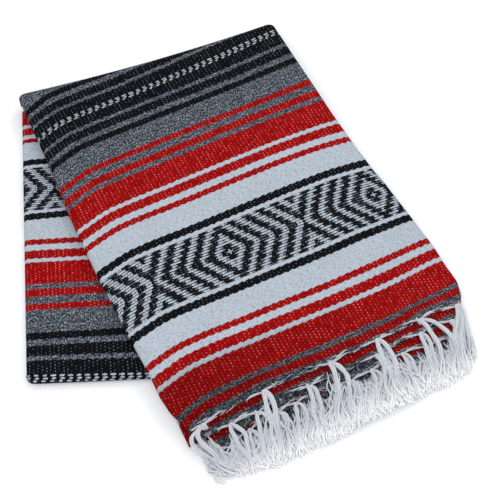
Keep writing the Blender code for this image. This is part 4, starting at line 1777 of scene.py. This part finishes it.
@dataclass
class FringeRow(CarriedPiece):
    """One hem's fringe: warp ends along the hem, knots, ropes of yarn that come loose, and fine ends.

    weight is how thick its yarns are. Of its fine_ends, side_ends stand in side_ends_u at the left edge.
    Ropes leave a knot to both sides and end rope_apart to each, and first_places are the sides for the first
    knot. Those of the top row's first knot bow left_bow to both sides and end near left_end, as u and v.
    A rope comes loose opens_after from its knot, over opens_over. tip_lift is how high the tips lie in the
    lowest row and in the top one.
    """

    name: str = ""
    node: str = ""
    hem: Hem = HEMS[0]
    seed: int = 1
    plies: int = 5
    fine_ends: int = 150
    side_ends: int = 0
    side_ends_u: Pair = (-151.0, -134.0)
    weight: float = 1.0
    first_places: Numbers = (-0.8, 0.9)
    floats: int = 11
    flecks: int = 84
    knot_turns: float = 2.4
    rope_apart: float = 3.6
    left_end: Pair = (-128.0, 210.0)
    left_bow: float = 16.5
    opens_after: Pair = (22.0, 42.0)
    opens_over: float = 32.0
    tip_lift: Pair = (1.4, 4.4)
    stations: int = 26
    yarn: float = 1.0
    outline: FringeOutline = FringeOutline()

    def _lay(self, u: Array, v: Array, lift: Array) -> Array:
        """Points at u and v, lifted from this hem's top near it and sinking towards the tips."""
        plan = PLAN.place(u, v)
        ground = PLAN.rest_height(plan)
        top = PLAN.hem_depth - (self.hem.number - 1) * PLAN.pitch
        low = mix(*self.tip_lift, (len(HEMS) - self.hem.number) / (len(HEMS) - 1.0))
        sink = ease((v - self.hem.v - 4.0) / (self.hem.tip_v - self.hem.v - 6.0))
        height = ground + mix(top, low, sink) + lift
        return np.concatenate([plan, np.maximum(height, self.yarn + 0.15)[..., None]], -1)

    def _floats(self, tubes: Tubes, knot: float, rng: np.random.Generator) -> None:
        """Warp ends that run close along the hem and gather into a knot from both sides."""
        count, stations = self.floats, 16
        each = (count, 1)
        side = np.where(np.arange(count) % 2 == 0, 1.0, -1.0)
        start = np.where(side > 0.0, rng.uniform(7.0, 23.0, count), rng.uniform(-20.0, -6.0, count))
        back = np.abs(start[:, None]) * rng.uniform(0.02, 0.24, each)
        t = np.linspace(0.0, 1.0, stations)[None, :]
        u = knot + start[:, None] * (1.0 - t) + rng.normal(0.0, 0.25, each) * np.sin(t * 9.0)
        u = np.clip(u, self.hem.left + 0.8, self.hem.right - 0.8)
        bend = rng.uniform(-0.8, 0.8, each) * np.sin(t * rng.uniform(3.0, 7.0, each))
        v = self.hem.line(u) - back * (1.0 - t) + 1.8 * t**3 + bend * (1.0 - t)
        lift = 0.1 + 0.5 * np.sin(math.pi * t) + 1.6 * t**3 + rng.uniform(0.0, 0.4, each) * t
        ends = np.minimum(1.0, 0.3 + 2.2 * t)
        tubes.add(self._lay(u, v, lift), self.yarn * 0.66 * self.weight * ends + 0.0 * u)

    def _flecks(self, tubes: Tubes, rng: np.random.Generator) -> None:
        """Short warp ends that lie loose on the edge of the hem between the knots."""
        each = (self.flecks, 1)
        t = np.linspace(0.0, 1.0, 7)[None, :]
        start = rng.uniform(self.hem.left + 2.0, self.hem.right - 10.0, each)
        u = start + rng.uniform(2.5, 8.5, each) * t
        back = rng.uniform(-0.8, 4.4, each) + rng.normal(0.0, 1.1, each) * (t - 0.5)
        v = self.hem.line(u) - np.maximum(back, -1.0)
        radii = self.yarn * rng.uniform(0.20, 0.38, each) * (0.4 + 0.6 * np.sin(math.pi * t))
        tubes.add(self._lay(u, v, 0.12 + 0.35 * np.sin(math.pi * t)), radii)

    def _knot(self, tubes: Tubes, knot: float, rng: np.random.Generator) -> None:
        """Yarn wrapped round the gathered ends."""
        t = np.linspace(0.0, 1.0, 34)[None, :]
        turn = 2.0 * math.pi * self.knot_turns * t + rng.uniform(0.0, 6.0)
        u = knot + self.weight * (2.0 * np.cos(turn) + 0.8 * (t - 0.5))
        v = self.hem.line(np.array([[knot]])) - 0.6 + 5.4 * self.weight * t
        lift = self.weight * (0.9 + 1.5 * np.sin(turn))
        tubes.add(self._lay(u, v, lift), np.full((1, 34), self.yarn * 1.35 * self.weight))

    def _rope_route(self, knot: float, place: float, rng: np.random.Generator) -> Arrays:
        """The bends of one rope: u and v from the knot to where its strands end.

        Args:
            knot: u of the knot.
            place: -1 for the rope on the left, 0 for one in the middle and 1 for the one on the right.
            rng: Where its unevenness comes from.

        Returns:
            u and v at six places down the rope.
        """
        root = float(self.hem.line(np.array(knot))) + 1.6
        swept = self.outline.sweep(knot, place) if self.hem.number == 1 else None
        end_u = float(self.outline.fall(knot)) + place * self.rope_apart + rng.normal(0.0, 3.4)
        end_v = float(self.outline.tip(swept[-1] if swept else end_u)) + rng.uniform(-9.0, 1.5)
        down = np.array([0.0, 0.10, 0.28, 0.5, 0.75, 1.0])
        bow = rng.uniform(2.8, 6.0) * (1.0 if place > 0.0 else rng.uniform(-0.5, 0.7))
        if knot > self.hem.right - 12.0:
            bow *= 0.3
        bulge = np.array([0.0, 0.75, 1.0, 0.5, rng.uniform(-0.6, 0.4), 0.0]) * bow
        if self.hem.number == 1 and knot < self.hem.left + 20.0:
            end_u, end_v = self.left_end[0] - 4.0 * place, self.left_end[1]
            bulge = np.array([0.0, 0.84, 1.0, 0.84, 0.42, 0.0]) * self.left_bow * place
        wander = rng.normal(0.0, 1.1, 6) * np.array([0.0, 0.0, 0.6, 1.0, 1.4, 1.0])
        u = mix(knot + 1.3 * place, end_u, down**1.25) + bulge + wander
        if swept:
            u = np.array(swept) + 0.5 * wander
        return u, mix(root, end_v, down)

    def _rope(self, tubes: Tubes, knot: float, place: float, rng: np.random.Generator) -> None:
        """A rope of parallel yarns that comes loose towards its end."""
        bends_u, bends_v = self._rope_route(knot, place, rng)
        count = self.plies
        each = (count, 1)
        t = np.linspace(0.0, 1.0, self.stations)[None, :]
        weights = cubic_weights(np.linspace(0.0, 1.0, len(bends_u)), t[0])
        axis_u, axis_v = (weights @ bends_u)[None, :], (weights @ bends_v)[None, :]
        run = axis_v - bends_v[0]
        opened = ease((run - rng.uniform(*self.opens_after)) / self.opens_over)
        ply = 2.0 * math.pi * np.arange(count)[:, None] / (count - 1)
        inner = np.where(np.arange(count) == count - 1, 0.15, 1.0)[:, None]
        turn = ply + rng.uniform(0.0, 6.0) + rng.choice([-1.0, 1.0]) * run / rng.uniform(9.0, 16.0)
        gather = mix(0.6, 1.0, ease(run / 6.0))
        spread = (1.42 * self.weight * gather + opened * rng.uniform(0.4, 3.0, each)) * inner
        fan = opened * rng.normal(0.0, 2.8, each) * inner
        wave = opened * rng.uniform(0.4, 1.6, each)
        wave = wave * np.sin(run / rng.uniform(3.2, 6.5, each) + rng.uniform(0.0, 6.0, each))
        shy = rng.uniform(0.90, 1.03, each)
        u = axis_u + spread * np.cos(turn) + fan + wave
        v = bends_v[0] + run * mix(1.0, shy, t) + 0.5 * np.sin(turn) * gather
        twist = 1.15 * self.weight * gather * np.sin(turn) * inner
        lift = 1.4 + twist + 1.2 * np.exp(-run / 9.0) - 0.9 * opened
        thick = rng.uniform(0.84, 1.12, each)
        thick = thick * (1.0 + 0.07 * np.sin(run / rng.uniform(1.6, 3.4, each)))
        radii = self.yarn * self.weight * mix(1.22, 0.84, opened) * thick * (1.0 - 0.4 * t**7)
        tubes.add(self._lay(u, v, lift), radii + 0.0 * u)

    def _fine_ends(self, tubes: Tubes, rng: np.random.Generator) -> None:
        """Wavy single yarns that fill the spaces below the hem, gathered a little towards the knots."""
        count, hem, beside = self.fine_ends, self.hem, slice(self.side_ends)
        each = (count, 1)
        start = rng.uniform(hem.left + 1.0, hem.right - 1.0, count)
        start[beside] = rng.uniform(*self.side_ends_u, self.side_ends)
        knots = np.array(hem.knots)
        nearest = knots[np.argmin(np.abs(start[:, None] - knots[None, :]), axis=1)]
        t = np.linspace(0.0, 1.0, self.stations)[None, :]
        over = hem.number < 3
        gather = rng.uniform(*((0.72, 0.98) if over else (0.0, 0.5)), count)
        gather[beside] = 0.0
        root_u = mix(start, nearest, gather)[:, None]
        root_v = hem.line(root_u) + rng.uniform(*((7.0, 26.0) if over else (1.5, 9.0)), each)
        root_v[beside] = hem.line(root_u[beside]) + rng.uniform(1.0, 14.0, (self.side_ends, 1))
        tip_u = self.outline.fall(start)[:, None] + rng.normal(0.0, 5.0, each)
        tip_v = self.outline.tip(tip_u) + rng.triangular(-10.0, 0.5, 5.0, each)
        tip_v = np.maximum(tip_v, root_v + 8.0)
        long = rng.uniform(3.4, 7.5, each)
        short = rng.uniform(1.5, 2.5, each)
        v = mix(root_v, tip_v, t)
        run = v - root_v
        loose = ease(run / 12.0)
        u = mix(root_u, tip_u, ease(t * 0.8 + 0.1) * t**0.3)
        u = u + loose * rng.uniform(0.9, 3.8, each) * np.sin(run / long + rng.uniform(0.0, 6.0, each))
        u = u + loose * rng.uniform(0.2, 0.9, each) * np.sin(run / short + rng.uniform(0.0, 6.0, each))
        lift = rng.uniform(-1.0, 0.9, each) + 0.4 * np.sin(run / 5.3 + rng.uniform(0.0, 6.0, each))
        radii = self.yarn * rng.uniform(0.60, 0.94, each) * (1.0 + 0.16 * t - 0.5 * t**8)
        tubes.add(self._lay(u, v, lift), radii * np.minimum(1.0, 0.4 + 4.0 * t) + 0.0 * u)

    def build(self, finish: Material) -> Piece:
        """Builds and dresses the fringe."""
        rng = np.random.default_rng(self.seed)
        tubes = Tubes()
        for knot in self.hem.knots:
            self._floats(tubes, knot, rng)
            self._knot(tubes, knot, rng)
            places = self.first_places if knot == self.hem.knots[0] else (-1.0, 1.0)
            if self.outline.sweep(knot, 0.0) and self.hem.number == 1:
                places = (-1.0, 0.0, 1.0)
            for place in places:
                self._rope(tubes, knot, place, rng)
        self._flecks(tubes, rng)
        self._fine_ends(tubes, rng)
        return self.fit(tubes.make(self.name), finish)


def hem_layers() -> list[HemLayer]:
    """The hidden layers from the second down to the lowest."""
    return [
        HemLayer("hem_cloth_2", "hem_layer_2", hem=HEMS[1], last_row=154.6, turned_in=27.0),
        HemLayer("hem_cloth_3", "hem_layer_3", hem=HEMS[2], grey_middle=0.62, right_drop=3.6),
        HemLayer("hem_cloth_4", "hem_layer_4", hem=HEMS[3], grey_middle=0.30),
    ]


def fringe_rows() -> list[FringeRow]:
    """The fringes from the top hem down to the lowest."""
    top, *lower = HEMS
    rows = [FringeRow("fringe_row_1", "fringe_1", hem=top, seed=41, fine_ends=44, first_places=(-1.0, -0.6))]
    for hem, fine_ends, side_ends, weight in zip(lower, (124, 330, 430), (44, 14, 14), (0.88, 0.74, 0.70)):
        row = FringeRow(f"fringe_row_{hem.number}", f"fringe_{hem.number}", hem=hem, seed=40 + hem.number)
        row.fine_ends, row.side_ends, row.weight = fine_ends, side_ends, weight
        rows.append(row)
    return rows


@dataclass
class Serape:
    """The whole folded serape."""

    upper: UpperPanel = field(default_factory=UpperPanel)
    lower: LowerPanel = field(default_factory=LowerPanel)
    layers: FoldedLayers = field(default_factory=FoldedLayers)
    hems: list[HemLayer] = field(default_factory=hem_layers)
    fringes: list[FringeRow] = field(default_factory=fringe_rows)

    def build(self) -> None:
        """Builds and dresses every piece."""
        weave = Weave().group()
        stripes = Stripes().group(Heather().group())
        cloth = ClothFinish("striped_cloth").make(weave, stripes)
        # The lower panel has no painted shade. The inner layers take a darker copy of the cloth: painted
        # shade for cloth under other layers.
        under = ClothFinish("striped_cloth_under", painted_shade_amount=0.0).make(weave, stripes)
        inner = ClothFinish("inner_cloth_shaded", shade=0.92).make(weave, stripes)
        yarn = YarnFinish("fringe_yarn").make()
        self.upper.build(cloth)
        self.lower.build(under)
        self.layers.build(inner)
        self.fringes[0].build(yarn)
        for layer, fringe in zip(self.hems, self.fringes[1:]):
            layer.build(inner)
            fringe.build(yarn)


@dataclass(frozen=True)
class Studio:
    """A plain pale floor, soft light and the camera."""

    lens: float = 83.43
    sensor: float = 36.0
    camera_at: tuple[float, float, float] = (-0.06557, -0.652124, 1.0353)
    looks_at: tuple[float, float, float] = (0.01093, -0.018124, 0.0)
    floor_size: float = 8.0
    floor_colour: Colour = (0.90, 0.91, 0.93)
    sky: Colour = (0.97, 0.985, 1.0)
    sky_strength: float = 0.72

    def build(self) -> None:
        """Makes the floor, the lights, the world and the camera."""
        bpy.ops.object.select_all(action="DESELECT")
        bpy.ops.mesh.primitive_plane_add(size=self.floor_size, location=(0.0, 0.0, 0.0))
        floor = bpy.context.active_object
        floor.name = "floor"
        white = opaque(self.floor_colour)
        paint = Finish("floor_paint", Base_Color=white, Roughness=0.9, Specular_IOR_Level=0.1)
        floor.data.materials.append(paint.material)
        world = bpy.data.worlds.new("studio")
        bpy.context.scene.world = world
        world.use_nodes = True
        backdrop = world.node_tree.nodes["Background"]
        backdrop.inputs["Color"].default_value = opaque(self.sky)
        backdrop.inputs["Strength"].default_value = self.sky_strength
        self._lamp("key_light", place=(-0.4, -0.95, 1.9), size=1.6, power=24.5)
        self._lamp("fill_light", place=(0.9, 1.1, 1.6), size=1.8, power=13.0)
        bpy.context.scene.view_settings.view_transform = "Standard"
        self._camera()

    def _lamp(self, name: str, place: tuple[float, float, float], size: float, power: float) -> None:
        """Hangs a soft square lamp that faces the middle."""
        bpy.ops.object.light_add(type="AREA", location=place)
        lamp = bpy.context.active_object
        lamp.name = name
        lamp.data.size = size
        lamp.data.energy = power
        lamp.rotation_euler = self._aim(place, (0.0, 0.0, 0.0))

    @staticmethod
    def _aim(place: Sequence[float], target: Sequence[float]) -> tuple[float, float, float]:
        """The turn that points -Z from one place at another, with +Y up."""
        line = np.subtract(target, place)
        tilt = math.acos(-line[2] / np.linalg.norm(line))
        return tilt, 0.0, math.atan2(-line[0], line[1])

    def _camera(self) -> None:
        """Adds the camera."""
        bpy.ops.object.camera_add(location=self.camera_at)
        camera = bpy.context.active_object
        camera.data.sensor_width = self.sensor
        camera.data.lens = self.lens
        camera.data.clip_end = 20.0
        camera.rotation_euler = self._aim(self.camera_at, self.looks_at)
        bpy.context.scene.camera = camera


def main() -> None:
    """Builds the serape and its studio."""
    logging.basicConfig(level=logging.INFO, format="%(message)s")
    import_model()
    Serape().build()
    Studio().build()
    bpy.context.view_layer.update()


if __name__ == "__main__":
    main()
